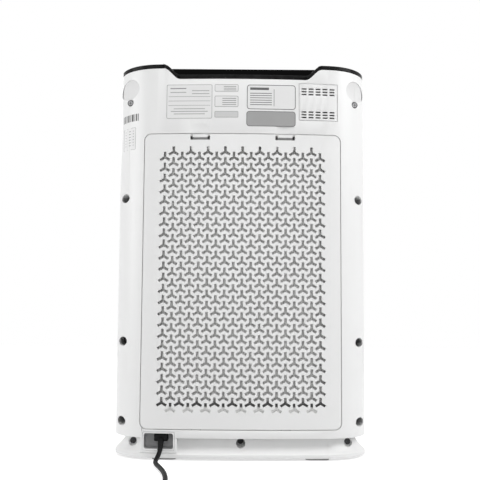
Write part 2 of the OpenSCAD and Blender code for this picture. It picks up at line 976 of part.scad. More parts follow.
module fan_motor() {
    color("gray")
    difference() {
        union() {
            rod_y(0, fan_z, motor_r, motor_y0, motor_y1);
            rod_y(0, fan_z, motor_r + 12, scroll_front - scroll_t - 3, scroll_front - scroll_t);
        }
        rod_y(0, fan_z, shaft_r + running_gap, motor_y1 - 18.5, motor_y1 + 1);
        for (turn = [45 : 90 : 315])
            rod_y(48 * cos(turn), fan_z + 48 * sin(turn), screw_r, motor_y0 - 1, motor_y1 + 1);
    }
}

module motor_screws() {
    color("silver")
    for (turn = [45 : 90 : 315]) {
        rod_y(48 * cos(turn), fan_z + 48 * sin(turn), screw_r, scroll_front - scroll_t - 3, scroll_front);
        rod_y(48 * cos(turn), fan_z + 48 * sin(turn), screw_head_r, scroll_front - scroll_t - 5.5, scroll_front - scroll_t - 3);
    }
}

// ---- Electrics ----

module power_board() {
    color("darkgreen")
    block([-80, board_posts_y[0] - 8, base_floor + post_h], [80, board_posts_y[1] + 8, base_floor + post_h + board_t]);
}

module power_parts() {
    z0 = base_floor + post_h + board_t;
    color("gold") {
        block([-60, board_posts_y[0] + 12, z0], [-22, board_posts_y[0] + 48, z0 + 30]);
        for (x = [0, 24])
            translate([x, board_posts_y[0] + 28, z0])
                cylinder(r = 9, h = 28);
        block([44, board_posts_y[0] + 6, z0], [64, board_posts_y[1] - 6, z0 + 22]);
    }
}

module inlet_socket() {
    color("#4a4a4a") {
        difference() {
            intersection() {
                inlet_box(inlet_wall, inlet_front, body_d);
                plan_solid(0.6, 0, body_top);
            }
            inlet_box(0, inlet_front + 3, body_d);
        }
        block([inlet_x - 3 - socket_w / 2, inlet_front + 2, socket_z0],
            [inlet_x - 3 + socket_w / 2, socket_y, socket_z0 + socket_h]);
    }
}

module screw(x, z, y) {
    difference() {
        rod_y(x, z, screw_head_r, y, y + screw_head_h);
        block([x - 3, y + screw_head_h - 1.2, z - 0.5], [x + 3, y + screw_head_h + 1, z + 0.5]);
        block([x - 0.5, y + screw_head_h - 1.2, z - 3], [x + 0.5, y + screw_head_h + 1, z + 3]);
    }
    rod_y(x, z, screw_r, y - screw_l, y);
}

module shell_screws() {
    color("silver")
    for (side = [-1, 1], z = well_heights)
        screw(side * well_x, z, well_floor_y);
}

module top_screws() {
    color("silver")
    for (side = [-1, 1])
        screw(side * cap_x, cap_z, cap_floor_y);
}

module base_screws() {
    color("silver")
    for (x = [-base_well_x, 0, base_well_x])
        screw(x, base_well_z, base_well_y);
}

module door_switch() {
    rear = floor(plan_y(chamber_half + chamber_t + 8, wall_t + flange_t) - 3.5);
    color("black")
    block([chamber_half + chamber_t, rear - 12, cover_top - 16],
        [chamber_half + chamber_t + 8, rear, cover_top - 4]);
}

// ---- Mains lead ----

function unit(v) = v / norm(v);
function route_direction(points, k) =
    unit(points[min(k + 1, len(points) - 1)] - points[max(k - 1, 0)]);
// One ring of points about a route's point, with its sides kept level
function ring(points, k, r, sides) =
    let (d = route_direction(points, k), right = unit(cross(d, [0, 0, 1])), up = cross(right, d))
        [for (side = [0 : sides - 1]) points[k] + r * (right * cos(360 * side / sides) + up * sin(360 * side / sides))];

module tube(points, r, sides) {
    rings = len(points);
    polyhedron(
        points = [for (k = [0 : rings - 1]) each ring(points, k, r, sides)],
        faces = concat(
            [[for (side = [sides - 1 : -1 : 0]) side]],
            [for (k = [0 : rings - 2], side = [0 : sides - 1], next = [(side + 1) % sides])
                [k * sides + side, k * sides + next, (k + 1) * sides + next, (k + 1) * sides + side]],
            [[for (side = [0 : sides - 1]) (rings - 1) * sides + side]]));
}

module plug_connector() {
    boot = cord_route[0] - boot_start;
    color("#181818") {
        block([inlet_x - 3 - socket_w / 2, socket_y, socket_z0], [inlet_x - 3 + socket_w / 2, socket_y + 13, socket_z0 + socket_h]);
        translate(boot_start)
            rotate([0, acos(boot[2] / norm(boot)), atan2(boot[1], boot[0])])
                cylinder(r1 = 4.4, r2 = cord_r + 0.3, h = norm(boot));
    }
}

module cord_tube() {
    color("#181818") {
        tube(cord_route, cord_r, cord_sides);
        translate([coil_at[0] + 4, plug_y, plug_z])
            rotate([0, -90, 0])
                cylinder(r = cord_r, h = coil_at[0] + 4 - plug_boot_x);
    }
}

module cord_coil() {
    half = coil_rings * cord_r;
    color("#181818")
    translate(coil_at)
        rotate_extrude()
            translate([coil_mid_r - half, 0])
                square([2 * half, coil_layers * 2 * cord_r]);
}

module mains_plug() {
    color("#181818") {
        translate([plug_boot_x, plug_y, plug_z])
            rotate([0, -90, 0])
                cylinder(r1 = cord_r + 0.3, r2 = 5.5, h = 24);
        block([plug_boot_x - 54, plug_y - 13, 0], [plug_boot_x - 23, plug_y + 13, 2 * plug_z]);
    }
}

module plug_pins() {
    color("silver")
    for (side = [-1, 1])
        block([plug_boot_x - 71, plug_y + side * 6.35 - 0.75, plug_z - 3.15], [plug_boot_x - 54, plug_y + side * 6.35 + 0.75, plug_z + 3.15]);
}

rear_shell();
front_shell();
base_plinth();
base_plate();
feet();
top_cover();
outlet_grille();
control_panel();
button(0);  // button_power
button(1);  // button_speed
button(2);  // button_timer
button(3);  // button_mode
button(4);  // button_lock
control_board();
front_display();
display_board();
rear_cover();
cover_fittings();
latch(1);  // latch_left
latch(-1);  // latch_right
sensor_bay();
sensor_door();
dust_sensor();
filter_chamber();
fan_guard();
filter_frame();
filter_media();
filter_carbon();
filter_gasket();
filter_tab();
scroll_back();
scroll_housing();
outlet_duct();
fan_wheel();
fan_shaft();
fan_motor();
motor_screws();
power_board();
power_parts();
inlet_socket();
shell_screws();
top_screws();
base_screws();
door_switch();
plug_connector();
cord_tube();
cord_coil();
mains_plug();
plug_pins();
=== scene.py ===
"""Tower air purifier, seen from the back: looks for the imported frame.
+Z up, +Y towards the back. The object's own lengths are in millimetres and become metres through MM;
the camera, the lamps and the shaders are in metres."""

import math

import bmesh
import bpy
from mathutils import Matrix, Vector


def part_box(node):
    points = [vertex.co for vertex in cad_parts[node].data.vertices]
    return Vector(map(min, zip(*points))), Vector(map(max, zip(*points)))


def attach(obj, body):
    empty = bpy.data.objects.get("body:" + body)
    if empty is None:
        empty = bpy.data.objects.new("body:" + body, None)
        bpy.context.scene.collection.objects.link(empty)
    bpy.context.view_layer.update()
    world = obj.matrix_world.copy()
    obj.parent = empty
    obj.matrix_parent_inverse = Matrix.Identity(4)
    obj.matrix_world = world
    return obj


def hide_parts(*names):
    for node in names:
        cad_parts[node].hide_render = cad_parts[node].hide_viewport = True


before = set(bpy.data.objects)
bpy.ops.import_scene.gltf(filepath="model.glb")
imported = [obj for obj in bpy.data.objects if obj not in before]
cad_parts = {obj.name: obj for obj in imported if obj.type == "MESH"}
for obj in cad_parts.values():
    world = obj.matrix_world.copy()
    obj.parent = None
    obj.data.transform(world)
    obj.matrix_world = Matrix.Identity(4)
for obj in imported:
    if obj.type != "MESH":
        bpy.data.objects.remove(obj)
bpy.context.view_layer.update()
MM = 0.001


def mm(*values):
    return Vector([value * MM for value in values])


def box_mm(name):
    """The low and the high corner of a CAD node, in millimetres."""
    return [[round(value / MM, 4) for value in corner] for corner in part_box(name)]


# ---- the body's outline, as in the part's source
HALF_W, HALF_D = box_mm("rear_shell")[1][:2]
FACE_R, CORNER_R = 1255.0, 61.6
CORNER_X, CORNER_Y = HALF_W - CORNER_R, 36.0
TANGENT_SIN = CORNER_X / (FACE_R - CORNER_R)
# how far a point may stand off the outline, and how much a face may lean, and still belong to the wall
FACE_SLACK, CORNER_SLACK, WALL_COSINE = 0.3, 0.7, 0.95


def plan_y(x):
    """Y of the back face at x, in millimetres."""
    if abs(x) <= FACE_R * TANGENT_SIN:
        return HALF_D - FACE_R + math.sqrt(FACE_R ** 2 - x * x)
    return CORNER_Y + math.sqrt(CORNER_R ** 2 - (abs(x) - CORNER_X) ** 2)


def wall_direction(x, y):
    """Outward direction of the body's wall at a point of its outline, or None away from the outline."""
    at = Vector((x, y))
    if abs(x) <= FACE_R * TANGENT_SIN:
        arm = at - Vector((0, math.copysign(HALF_D - FACE_R, y)))
        if abs(arm.length - FACE_R) < FACE_SLACK:
            return arm.to_3d().normalized()
    elif abs(y) > CORNER_Y:
        arm = at - Vector((math.copysign(CORNER_X, x), math.copysign(CORNER_Y, y)))
        if abs(arm.length - CORNER_R) < CORNER_SLACK:
            return arm.to_3d().normalized()
    if abs(y) <= CORNER_Y and abs(abs(x) - HALF_W) < FACE_SLACK:
        return Vector((math.copysign(1, x), 0, 0))
    return None


# ---- working by hand: selecting and shaping
def deselect():
    if bpy.context.object and bpy.context.object.mode != "OBJECT":
        bpy.ops.object.mode_set(mode="OBJECT")
    bpy.ops.object.select_all(action="DESELECT")


def only(*pieces):
    """Selects these pieces and no others; the first is the active one."""
    deselect()
    for piece in pieces:
        piece.select_set(True)
    bpy.context.view_layer.objects.active = pieces[0]


def edit(piece, kind="FACE"):
    """Opens the piece in edit mode with nothing selected."""
    only(piece)
    bpy.ops.object.mode_set(mode="EDIT")
    bpy.ops.mesh.select_mode(type=kind)
    bpy.ops.mesh.select_all(action="DESELECT")


def pick(piece, kind, test):
    """Selects the faces, edges or vertices that pass the test."""
    mesh = bmesh.from_edit_mesh(piece.data)
    parts = {"FACE": mesh.faces, "EDGE": mesh.edges, "VERT": mesh.verts}[kind]
    parts.ensure_lookup_table()
    for part in parts:
        part.select_set(False)
    for part in parts:
        if test(part):
            part.select_set(True)
    bmesh.update_edit_mesh(piece.data)


def done(piece, angle=30):
    """Leaves edit mode, puts the piece's place into its mesh and smooths its soft edges."""
    if bpy.context.object.mode != "OBJECT":
        bpy.ops.object.mode_set(mode="OBJECT")
    only(piece)
    bpy.ops.object.transform_apply(location=True, rotation=True, scale=True)
    bpy.ops.object.shade_smooth_by_angle(angle=math.radians(angle))


def even_wall(piece):
    """Lets the outer wall shade as one smooth surface, whatever the size of its faces."""
    mesh = piece.data
    directions = [corner.vector.copy() for corner in mesh.corner_normals]
    for face in mesh.polygons:
        for index in face.loop_indices:
            place = mesh.vertices[mesh.loops[index].vertex_index].co
            out = wall_direction(place.x / MM, place.y / MM)
            if out is not None and face.normal.dot(out) > WALL_COSINE:
                directions[index] = out
    mesh.normals_split_custom_set(directions)


def named(name):
    """Names the active object, which is the one just made."""
    piece = bpy.context.object
    piece.name = name
    piece.data.name = name
    return piece


def apply(piece, kind, **settings):
    """Adds a modifier with these settings and applies it."""
    only(piece)
    bpy.ops.object.modifier_add(type=kind)
    modifier = piece.modifiers[-1]
    for key, value in settings.items():
        setattr(modifier, key, value)
    bpy.ops.object.modifier_apply(modifier=modifier.name)


# ---- camera
YAW, TILT, ROLL = 0.0083, 0.0936, 0.0067
camera_data = bpy.data.cameras.new("camera")
camera_data.lens = 61.5
camera_data.sensor_width = 36
camera = bpy.data.objects.new("camera", camera_data)
bpy.context.scene.collection.objects.link(camera)
camera.location = (0.012, 1.212, 0.1905)
camera.rotation_euler = (Matrix.Rotation(math.pi - YAW, 4, "Z") @ Matrix.Rotation(math.pi / 2 + TILT, 4, "X")
                         @ Matrix.Rotation(ROLL, 4, "Z")).to_euler()
bpy.context.scene.camera = camera

# ---- mains lead: the route, then the coil
CORD_D = 6.0
ROUTE = [
    (107, 104, 14), (107.4, 106.4, 12.1), (108.2, 110.2, 9.4), (109.3, 115, 6.9), (110.2, 121, 4.9),
    (110.5, 128, 3.6), (109.6, 136, 3.1), (107.2, 147, 3.1), (103.6, 160, 3.1), (99.6, 175, 3.1),
    (95.8, 191, 3.1), (92.4, 209, 3.1), (89.8, 228, 3.1), (88.3, 247, 3.1), (87.9, 265, 3.1),
    (88.6, 283, 3.1), (90.6, 300, 3.1), (93.8, 316, 3.1), (97, 328.5, 3.1),
]
COIL_X, COIL_Y, COIL_STEP = 50.0, 338.0, 18
# turned angle, ring radius and height over the floor, joined by smooth steps
WINDING = [
    (0, 48, 3.1), (50, 42, 3.1), (360, 42, 3.1), (410, 36, 3.1), (720, 36, 3.1), (770, 30, 3.1),
    (1010, 30, 3.1), (1080, 30, 9.1), (1320, 30, 9.1), (1370, 36, 9.1), (1680, 36, 9.1),
    (1730, 42, 9.1), (1830, 42, 9.1), (1890, 48.1, 9.1),
]
TAIL = [(44, 386.1, 9.05), (38, 386.1, 9), (33, 386.1, 9)]


def winding_at(angle):
    """Ring radius and height of the coil at a turned angle."""
    for (a0, r0, z0), (a1, r1, z1) in zip(WINDING, WINDING[1:]):
        if angle <= a1:
            share = (angle - a0) / (a1 - a0)
            share = share * share * (3 - 2 * share)
            return r0 + (r1 - r0) * share, z0 + (z1 - z0) * share
    return WINDING[-1][1:]


def coil_points():
    points = []
    angle = 0
    while angle <= WINDING[-1][0]:
        radius, z = winding_at(angle)
        turned = math.radians(angle)
        points.append((COIL_X + radius * math.cos(turned), COIL_Y + radius * math.sin(turned), z))
        angle += COIL_STEP
    return points


def lead(name, points, diameter):
    """A round cable through the points; its profile is a unit circle that each knot's radius scales."""
    curve = bpy.data.curves.new(name, "CURVE")
    curve.dimensions = "3D"
    curve.bevel_depth = 1.0
    curve.bevel_resolution = 5
    curve.resolution_u = 5
    curve.use_fill_caps = True
    spline = curve.splines.new("BEZIER")
    spline.bezier_points.add(len(points) - 1)
    for knot, point in zip(spline.bezier_points, points):
        knot.co = mm(*point)
        knot.radius = diameter / 2 * MM
        knot.handle_left_type = knot.handle_right_type = "AUTO"
    piece = bpy.data.objects.new(name, curve)
    bpy.context.scene.collection.objects.link(piece)
    return piece


cord = lead("mains_cord", ROUTE + coil_points() + TAIL, CORD_D)
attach(cord, "casing")
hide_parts("cord_tube", "cord_coil")


# ---- shader groups, each built once
def group(name, inputs, outputs):
    """A shader group with named sockets, its open inputs and its end; inputs are (name, kind, value)."""
    tree = bpy.data.node_groups.new(name, "ShaderNodeTree")
    for label, kind, value in inputs:
        socket = tree.interface.new_socket(name=label, in_out="INPUT", socket_type="NodeSocket" + kind)
        if value is not None:
            socket.default_value = value
    for label, kind in outputs:
        tree.interface.new_socket(name=label, in_out="OUTPUT", socket_type="NodeSocket" + kind)
    start = tree.nodes.new("NodeGroupInput")
    end = tree.nodes.new("NodeGroupOutput")
    return tree, start.outputs, end


def node(tree, kind, links=None, **settings):
    """Adds a node, sets its properties, and feeds its inputs with sockets or plain values."""
    made = tree.nodes.new("ShaderNode" + kind)
    for key, value in settings.items():
        setattr(made, key, value)
    for key, value in (links or {}).items():
        if isinstance(value, bpy.types.NodeSocket):
            tree.links.new(value, made.inputs[key])
        else:
            made.inputs[key].default_value = value
    return made


def maths(tree, operation, *values, clamp=False):
    return node(tree, "Math", dict(enumerate(values)), operation=operation, use_clamp=clamp).outputs[0]


def blend(tree, share, first, second):
    """Mixes two colours: a Mix node takes colours at its inputs 6 and 7 and gives one at its output 2."""
    return node(tree, "Mix", {0: share, 6: first, 7: second}, data_type="RGBA").outputs[2]


def give(tree, end, **sockets):
    """Feeds the named outputs of a group."""
    for name, socket in sockets.items():
        tree.links.new(socket, end.inputs[name])


def rgb(red, green, blue):
    return (red, green, blue, 1.0)


def grey(value):
    return rgb(value, value, value)


def build_skin():
    """Moulded plastic: slow colour and gloss changes, and a fine spark-eroded grain."""
    tree, where, end = group(
        "moulded skin",
        [("Vector", "Vector", None), ("Colour", "Color", grey(0.8)), ("Deep Colour", "Color", grey(0.7)),
         ("Patch Scale", "Float", 8.0), ("Grain Scale", "Float", 900.0), ("Roughness", "Float", 0.4),
         ("Roughness Range", "Float", 0.1)],
        [("Colour", "Color"), ("Roughness", "Float"), ("Height", "Float")])
    patch = node(tree, "TexNoise", {"Vector": where["Vector"], "Scale": where["Patch Scale"], "Detail": 3.0})
    grain = node(tree, "TexNoise", {"Vector": where["Vector"], "Scale": where["Grain Scale"], "Detail": 2.0})
    patchy = maths(tree, "SUBTRACT", patch.outputs["Fac"], 0.5)
    gloss = maths(tree, "MULTIPLY_ADD", patchy, where["Roughness Range"], where["Roughness"])
    speckle = maths(tree, "SUBTRACT", grain.outputs["Fac"], 0.5)
    give(tree, end, Height=grain.outputs["Fac"],
         Colour=blend(tree, patch.outputs["Fac"], where["Colour"], where["Deep Colour"]),
         Roughness=maths(tree, "MULTIPLY_ADD", speckle, where["Roughness Range"], gloss, clamp=True))
    return tree


def build_wear_and_highlight():
    """Edges painted paler: wear that handling has rubbed, and a painted highlight where the gloss black trim
    takes it.
    """
    tree, where, end = group(
        "rubbed edges",
        [("Vector", "Vector", None), ("Colour", "Color", grey(0.1)), ("Rubbed Colour", "Color", grey(0.3)),
         ("Amount", "Float", 0.5)],
        [("Colour", "Color")])
    shape = node(tree, "NewGeometry")
    edge = node(tree, "MapRange", {"Value": shape.outputs["Pointiness"], "From Min": 0.51, "From Max": 0.6})
    broken = node(tree, "TexNoise", {"Vector": where["Vector"], "Scale": 120.0, "Detail": 4.0})
    worn_and_highlit = maths(tree, "MULTIPLY", edge.outputs[0], broken.outputs["Fac"])
    mask = maths(tree, "MULTIPLY", worn_and_highlit, where["Amount"], clamp=True)
    give(tree, end, Colour=blend(tree, mask, where["Colour"], where["Rubbed Colour"]))
    return tree


def build_dust():
    """Fine dust that settles on what faces upwards."""
    tree, where, end = group(
        "settled dust",
        [("Vector", "Vector", None), ("Colour", "Color", grey(0.1)), ("Roughness", "Float", 0.3),
         ("Dust Colour", "Color", rgb(0.55, 0.54, 0.52)), ("Amount", "Float", 0.2)],
        [("Colour", "Color"), ("Roughness", "Float")])
    shape = node(tree, "NewGeometry")
    facing = node(tree, "SeparateXYZ", {0: shape.outputs["Normal"]})
    flat = node(tree, "MapRange", {"Value": facing.outputs["Z"], "From Min": 0.6, "From Max": 1.0})
    specks = node(tree, "TexNoise",
                  {"Vector": where["Vector"], "Scale": 260.0, "Detail": 5.0, "Roughness": 0.7})
    settled = maths(tree, "MULTIPLY", flat.outputs[0], specks.outputs["Fac"])
    mask = maths(tree, "MULTIPLY", settled, where["Amount"], clamp=True)
    rough = node(tree, "MapRange", {"Value": mask, "To Min": where["Roughness"], "To Max": 0.9})
    give(tree, end, Colour=blend(tree, mask, where["Colour"], where["Dust Colour"]),
         Roughness=rough.outputs[0])
    return tree


def build_threads():
    """Crossed threads of a woven or felted sheet."""
    tree, where, end = group(
        "crossed threads",
        [("Vector", "Vector", None), ("Colour", "Color", grey(0.8)), ("Gap Colour", "Color", grey(0.4)),
         ("Threads", "Float", 400.0)],
        [("Colour", "Color"), ("Height", "Float")])
    waves = {"Vector": where["Vector"], "Scale": where["Threads"], "Distortion": 1.5, "Detail": 1.0}
    along = node(tree, "TexWave", waves, bands_direction="X")
    across = node(tree, "TexWave", waves, bands_direction="Z")
    top = maths(tree, "MAXIMUM", along.outputs["Fac"], across.outputs["Fac"])
    give(tree, end, Colour=blend(tree, top, where["Gap Colour"], where["Colour"]), Height=top)
    return tree


def build_pleats():
    """Folded filter paper: pale crests and valleys greyed by painted shade, side by side."""
    tree, where, end = group(
        "filter pleats",
        [("Vector", "Vector", None), ("Crest Colour", "Color", grey(0.8)),
         ("Valley Colour", "Color", grey(0.3)), ("Pleats", "Float", 80.0)],
        [("Colour", "Color"), ("Height", "Float")])
    waves = {"Vector": where["Vector"], "Scale": where["Pleats"], "Distortion": 0.4, "Detail": 1.0}
    fold = node(tree, "TexWave", waves, bands_direction="X", wave_profile="TRI").outputs["Fac"]
    give(tree, end, Colour=blend(tree, fold, where["Valley Colour"], where["Crest Colour"]), Height=fold)
    return tree


SKIN, WEAR_AND_HIGHLIGHT, DUST = build_skin(), build_wear_and_highlight(), build_dust()
THREADS, PLEATS = build_threads(), build_pleats()


# ---- materials
def start_material(name):
    material = bpy.data.materials.new(name)
    material.use_nodes = True
    tree = material.node_tree
    shader = tree.nodes["Principled BSDF"]
    place = tree.nodes.new("ShaderNodeTexCoord").outputs["Object"]
    return material, tree, shader, place


def use(tree, which, **links):
    """Adds a shader group and feeds its inputs; an underscore in a key stands for a space."""
    made = tree.nodes.new("ShaderNodeGroup")
    made.node_tree = which
    for key, value in links.items():
        socket = made.inputs[key.replace("_", " ")]
        if isinstance(value, bpy.types.NodeSocket):
            tree.links.new(value, socket)
        else:
            socket.default_value = value
    return made.outputs


def surface(tree, shader, shade, gloss):
    tree.links.new(shade, shader.inputs["Base Color"])
    tree.links.new(gloss, shader.inputs["Roughness"])


def bumped(tree, shader, height, distance, strength=0.5):
    bump = node(tree, "Bump", {"Height": height, "Distance": distance, "Strength": strength})
    tree.links.new(bump.outputs["Normal"], shader.inputs["Normal"])


def plastic(name, colour, deep, rough=0.4, spread=0.12, patch=7.0, grain=1400.0, relief=0.00004,
            wear_and_highlight=None, dust=0.0, metal=0.0, coat=0.0, shine=0.5):
    """Moulded plastic, painted metal or rubber from the shared groups."""
    material, tree, shader, place = start_material(name)
    skin = use(tree, SKIN, Vector=place, Colour=colour, Deep_Colour=deep, Patch_Scale=patch,
               Grain_Scale=grain, Roughness=rough, Roughness_Range=spread)
    shade, gloss = skin["Colour"], skin["Roughness"]
    # paler sharp edges: rubbed wear, and on gloss black also a painted highlight
    if wear_and_highlight:
        shade = use(tree, WEAR_AND_HIGHLIGHT, Vector=place, Colour=shade, Rubbed_Colour=wear_and_highlight, Amount=0.8)["Colour"]
    if dust:
        dusty = use(tree, DUST, Vector=place, Colour=shade, Roughness=gloss, Amount=dust)
        shade, gloss = dusty["Colour"], dusty["Roughness"]
    surface(tree, shader, shade, gloss)
    shader.inputs["Metallic"].default_value = metal
    shader.inputs["Coat Weight"].default_value = coat
    shader.inputs["Specular IOR Level"].default_value = shine
    bumped(tree, shader, skin["Height"], relief)
    return material


def printed(name, face, spots, rough, patch):
    """Film, paper or ink: smooth, with small uneven spots."""
    return plastic(name, grey(face), grey(spots), rough=rough, patch=patch, relief=0.00001)


def cloth(name, colour, gap, threads):
    material, tree, shader, place = start_material(name)
    woven = use(tree, THREADS, Vector=place, Colour=colour, Gap_Colour=gap, Threads=threads)
    skin = use(tree, SKIN, Vector=place, Colour=woven["Colour"], Deep_Colour=gap, Patch_Scale=20.0,
               Grain_Scale=2500.0, Roughness=0.9, Roughness_Range=0.1)
    surface(tree, shader, woven["Colour"], skin["Roughness"])
    bumped(tree, shader, woven["Height"], 0.0002)
    return material


def pleated(name, crest, valley_shade, pleats):
    material, tree, shader, place = start_material(name)
    folds = use(tree, PLEATS, Vector=place, Crest_Colour=crest, Valley_Colour=valley_shade, Pleats=pleats)
    skin = use(tree, SKIN, Vector=place, Colour=folds["Colour"], Deep_Colour=valley_shade, Patch_Scale=12.0,
               Grain_Scale=1800.0, Roughness=0.88, Roughness_Range=0.1)
    surface(tree, shader, folds["Colour"], skin["Roughness"])
    bumped(tree, shader, folds["Height"], 0.002, 0.8)
    return material


# the case and its trim
white_shell = plastic("white_shell", rgb(0.84, 0.842, 0.84), rgb(0.81, 0.812, 0.81), rough=0.38, spread=0.08,
                      patch=5.0, grain=1800.0, relief=0.00002, dust=0.08)
white_inner = plastic("white_inner", rgb(0.80, 0.80, 0.79), rgb(0.74, 0.74, 0.73), rough=0.5, patch=9.0)
# its paler edges are rubbed wear and a painted highlight along the trim, the thin light line on the top rim
# among them
gloss_black = plastic("gloss_black", grey(0.002), grey(0.003), rough=0.14, spread=0.05, patch=12.0,
                      grain=500.0, relief=0.00001, wear_and_highlight=grey(0.16), shine=0.04)
black_plastic = plastic("black_plastic", rgb(0.004, 0.004, 0.0042), rgb(0.007, 0.007, 0.0075), rough=0.45,
                        wear_and_highlight=grey(0.04), shine=0.15)
recess_grey = plastic("recess_grey", rgb(0.60, 0.60, 0.605), rgb(0.50, 0.50, 0.505), rough=0.5, shine=0.3)
# painted shade: a grey for the latches' recessed lower faces, standing in for the shade down in each notch
latch_shade_grey = plastic("latch_shade_grey", grey(0.30), grey(0.25), rough=0.55)
# painted shade: a grey for the corner dish floors that stands in for the shade in the dishes
dish_shade_grey = plastic("dish_shade_grey", grey(0.73), grey(0.70), rough=0.5, patch=30.0)
dark_grey = plastic("dark_grey", rgb(0.055, 0.055, 0.057), rgb(0.08, 0.08, 0.082), rough=0.5)
button_grey = plastic("button_grey", rgb(0.10, 0.10, 0.105), rgb(0.15, 0.15, 0.155), rough=0.45, dust=0.1)
smoked_window = plastic("smoked_window", rgb(0.012, 0.012, 0.015), rgb(0.02, 0.02, 0.022), rough=0.08,
                        spread=0.03, coat=0.6, relief=0.000005)
rubber_grey = plastic("rubber_grey", grey(0.50), rgb(0.55, 0.55, 0.545), rough=0.85, grain=900.0,
                      relief=0.00008)

# labels
label_white = printed("label_white", 0.80, 0.77, 0.55, 40.0)
label_silver = printed("label_silver", 0.62, 0.57, 0.4, 40.0)
label_grey = printed("label_grey", 0.36, 0.33, 0.5, 40.0)
ink_pale = printed("ink_pale", 0.22, 0.27, 0.6, 90.0)
ink_dark = printed("ink_dark", 0.09, 0.12, 0.6, 90.0)

# mains lead
cord_black = plastic("cord_black", rgb(0.003, 0.003, 0.0032), rgb(0.006, 0.006, 0.0063), rough=0.55,
                     patch=30.0, grain=2600.0, relief=0.00003, shine=0.15)
tie_grey = plastic("tie_grey", grey(0.05), grey(0.08), rough=0.7)
brass_pins = plastic("brass_pins", rgb(0.70, 0.55, 0.25), rgb(0.55, 0.42, 0.18), rough=0.25, patch=200.0,
                     metal=1.0)

# fan, filter, boards and screws
duct_plastic = plastic("duct_plastic", rgb(0.5, 0.5, 0.49), rgb(0.42, 0.42, 0.41), rough=0.45)
wheel_plastic = plastic("wheel_plastic", rgb(0.12, 0.12, 0.125), rgb(0.17, 0.17, 0.175), rough=0.4)
guard_wire = plastic("guard_wire", grey(0.06), grey(0.10), rough=0.35, metal=0.3)
motor_paint = plastic("motor_paint", rgb(0.25, 0.25, 0.26), rgb(0.18, 0.18, 0.19), rough=0.35, patch=40.0,
                      metal=0.6)
steel = plastic("steel", rgb(0.60, 0.60, 0.61), rgb(0.45, 0.45, 0.46), rough=0.3, patch=90.0, metal=1.0)
screw_steel = plastic("screw_steel", rgb(0.05, 0.05, 0.052), rgb(0.03, 0.03, 0.032), rough=0.5, patch=200.0,
                      metal=0.6)
zinc_screw = plastic("zinc_screw", rgb(0.52, 0.52, 0.53), rgb(0.44, 0.44, 0.45), rough=0.45, patch=200.0,
                     metal=0.2)
circuit_board = plastic("circuit_board", rgb(0.02, 0.14, 0.05), rgb(0.03, 0.20, 0.08), rough=0.4, patch=60.0)
board_parts = plastic("board_parts", rgb(0.05, 0.05, 0.06), rgb(0.12, 0.12, 0.13), rough=0.5, patch=80.0)
filter_card = plastic("filter_card", rgb(0.72, 0.72, 0.70), rgb(0.60, 0.60, 0.58), rough=0.85, grain=900.0)
filter_foam = plastic("filter_foam", grey(0.28), grey(0.16), rough=0.95, patch=300.0, grain=1500.0,
                      relief=0.0004)
# the pleats' valleys carry a painted shade
filter_paper = pleated("filter_paper", rgb(0.93, 0.93, 0.92), rgb(0.76, 0.76, 0.75), 60.0)
carbon_cloth = cloth("carbon_cloth", grey(0.06), grey(0.015), 500.0)
tab_cloth = cloth("tab_cloth", rgb(0.80, 0.80, 0.78), rgb(0.55, 0.55, 0.53), 1400.0)

DRESS = {
    white_shell: ["rear_shell", "front_shell", "base_plinth", "rear_cover", "latch_left", "latch_right",
                  "sensor_door"],
    white_inner: ["base_plate", "filter_chamber", "cover_fittings", "sensor_bay"],
    gloss_black: ["top_cover", "control_panel"],
    black_plastic: ["outlet_grille", "plug_connector", "mains_plug", "dust_sensor"],
    dark_grey: ["inlet_socket", "door_switch"],
    button_grey: ["button_power", "button_speed", "button_timer", "button_mode", "button_lock"],
    rubber_grey: ["feet"],
    cord_black: ["cord_tube", "cord_coil"],
    circuit_board: ["control_board", "display_board", "power_board"],
    board_parts: ["power_parts"],
    smoked_window: ["front_display"],
    filter_card: ["filter_frame"],
    filter_foam: ["filter_gasket"],
    filter_paper: ["filter_media"],
    carbon_cloth: ["filter_carbon"],
    tab_cloth: ["filter_tab"],
    duct_plastic: ["scroll_back", "scroll_housing", "outlet_duct"],
    wheel_plastic: ["fan_wheel"],
    steel: ["fan_shaft"],
    guard_wire: ["fan_guard"],
    motor_paint: ["fan_motor"],
    screw_steel: ["shell_screws", "base_screws"],
    zinc_screw: ["motor_screws", "top_screws"],
    brass_pins: ["plug_pins"],
}
for material, nodes in DRESS.items():
    for name in nodes:
        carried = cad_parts[name]
        carried.data.materials.clear()
        carried.data.materials.append(material)
cord.data.materials.append(cord_black)

# ---- shaping helpers for the new pieces
# points nearer than this are one, and faces within this angle lie level
DOUBLES = 0.002
LEVEL_ANGLE = math.radians(0.1)


def dress(piece, material, slot, *nodes, body="casing"):
    """Gives a new piece its finish, its body and the CAD nodes that it stands for."""
    if not piece.data.materials:
        piece.data.materials.append(material)
    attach(piece, body)
    if nodes:
        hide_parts(*nodes)
    return piece


def outward(piece):
    """Merges doubles and turns every face outwards."""
    edit(piece)
    bpy.ops.mesh.select_all(action="SELECT")
    bpy.ops.mesh.remove_doubles(threshold=DOUBLES * MM)
    bpy.ops.mesh.normals_make_consistent(inside=False)
    bpy.ops.object.mode_set(mode="OBJECT")


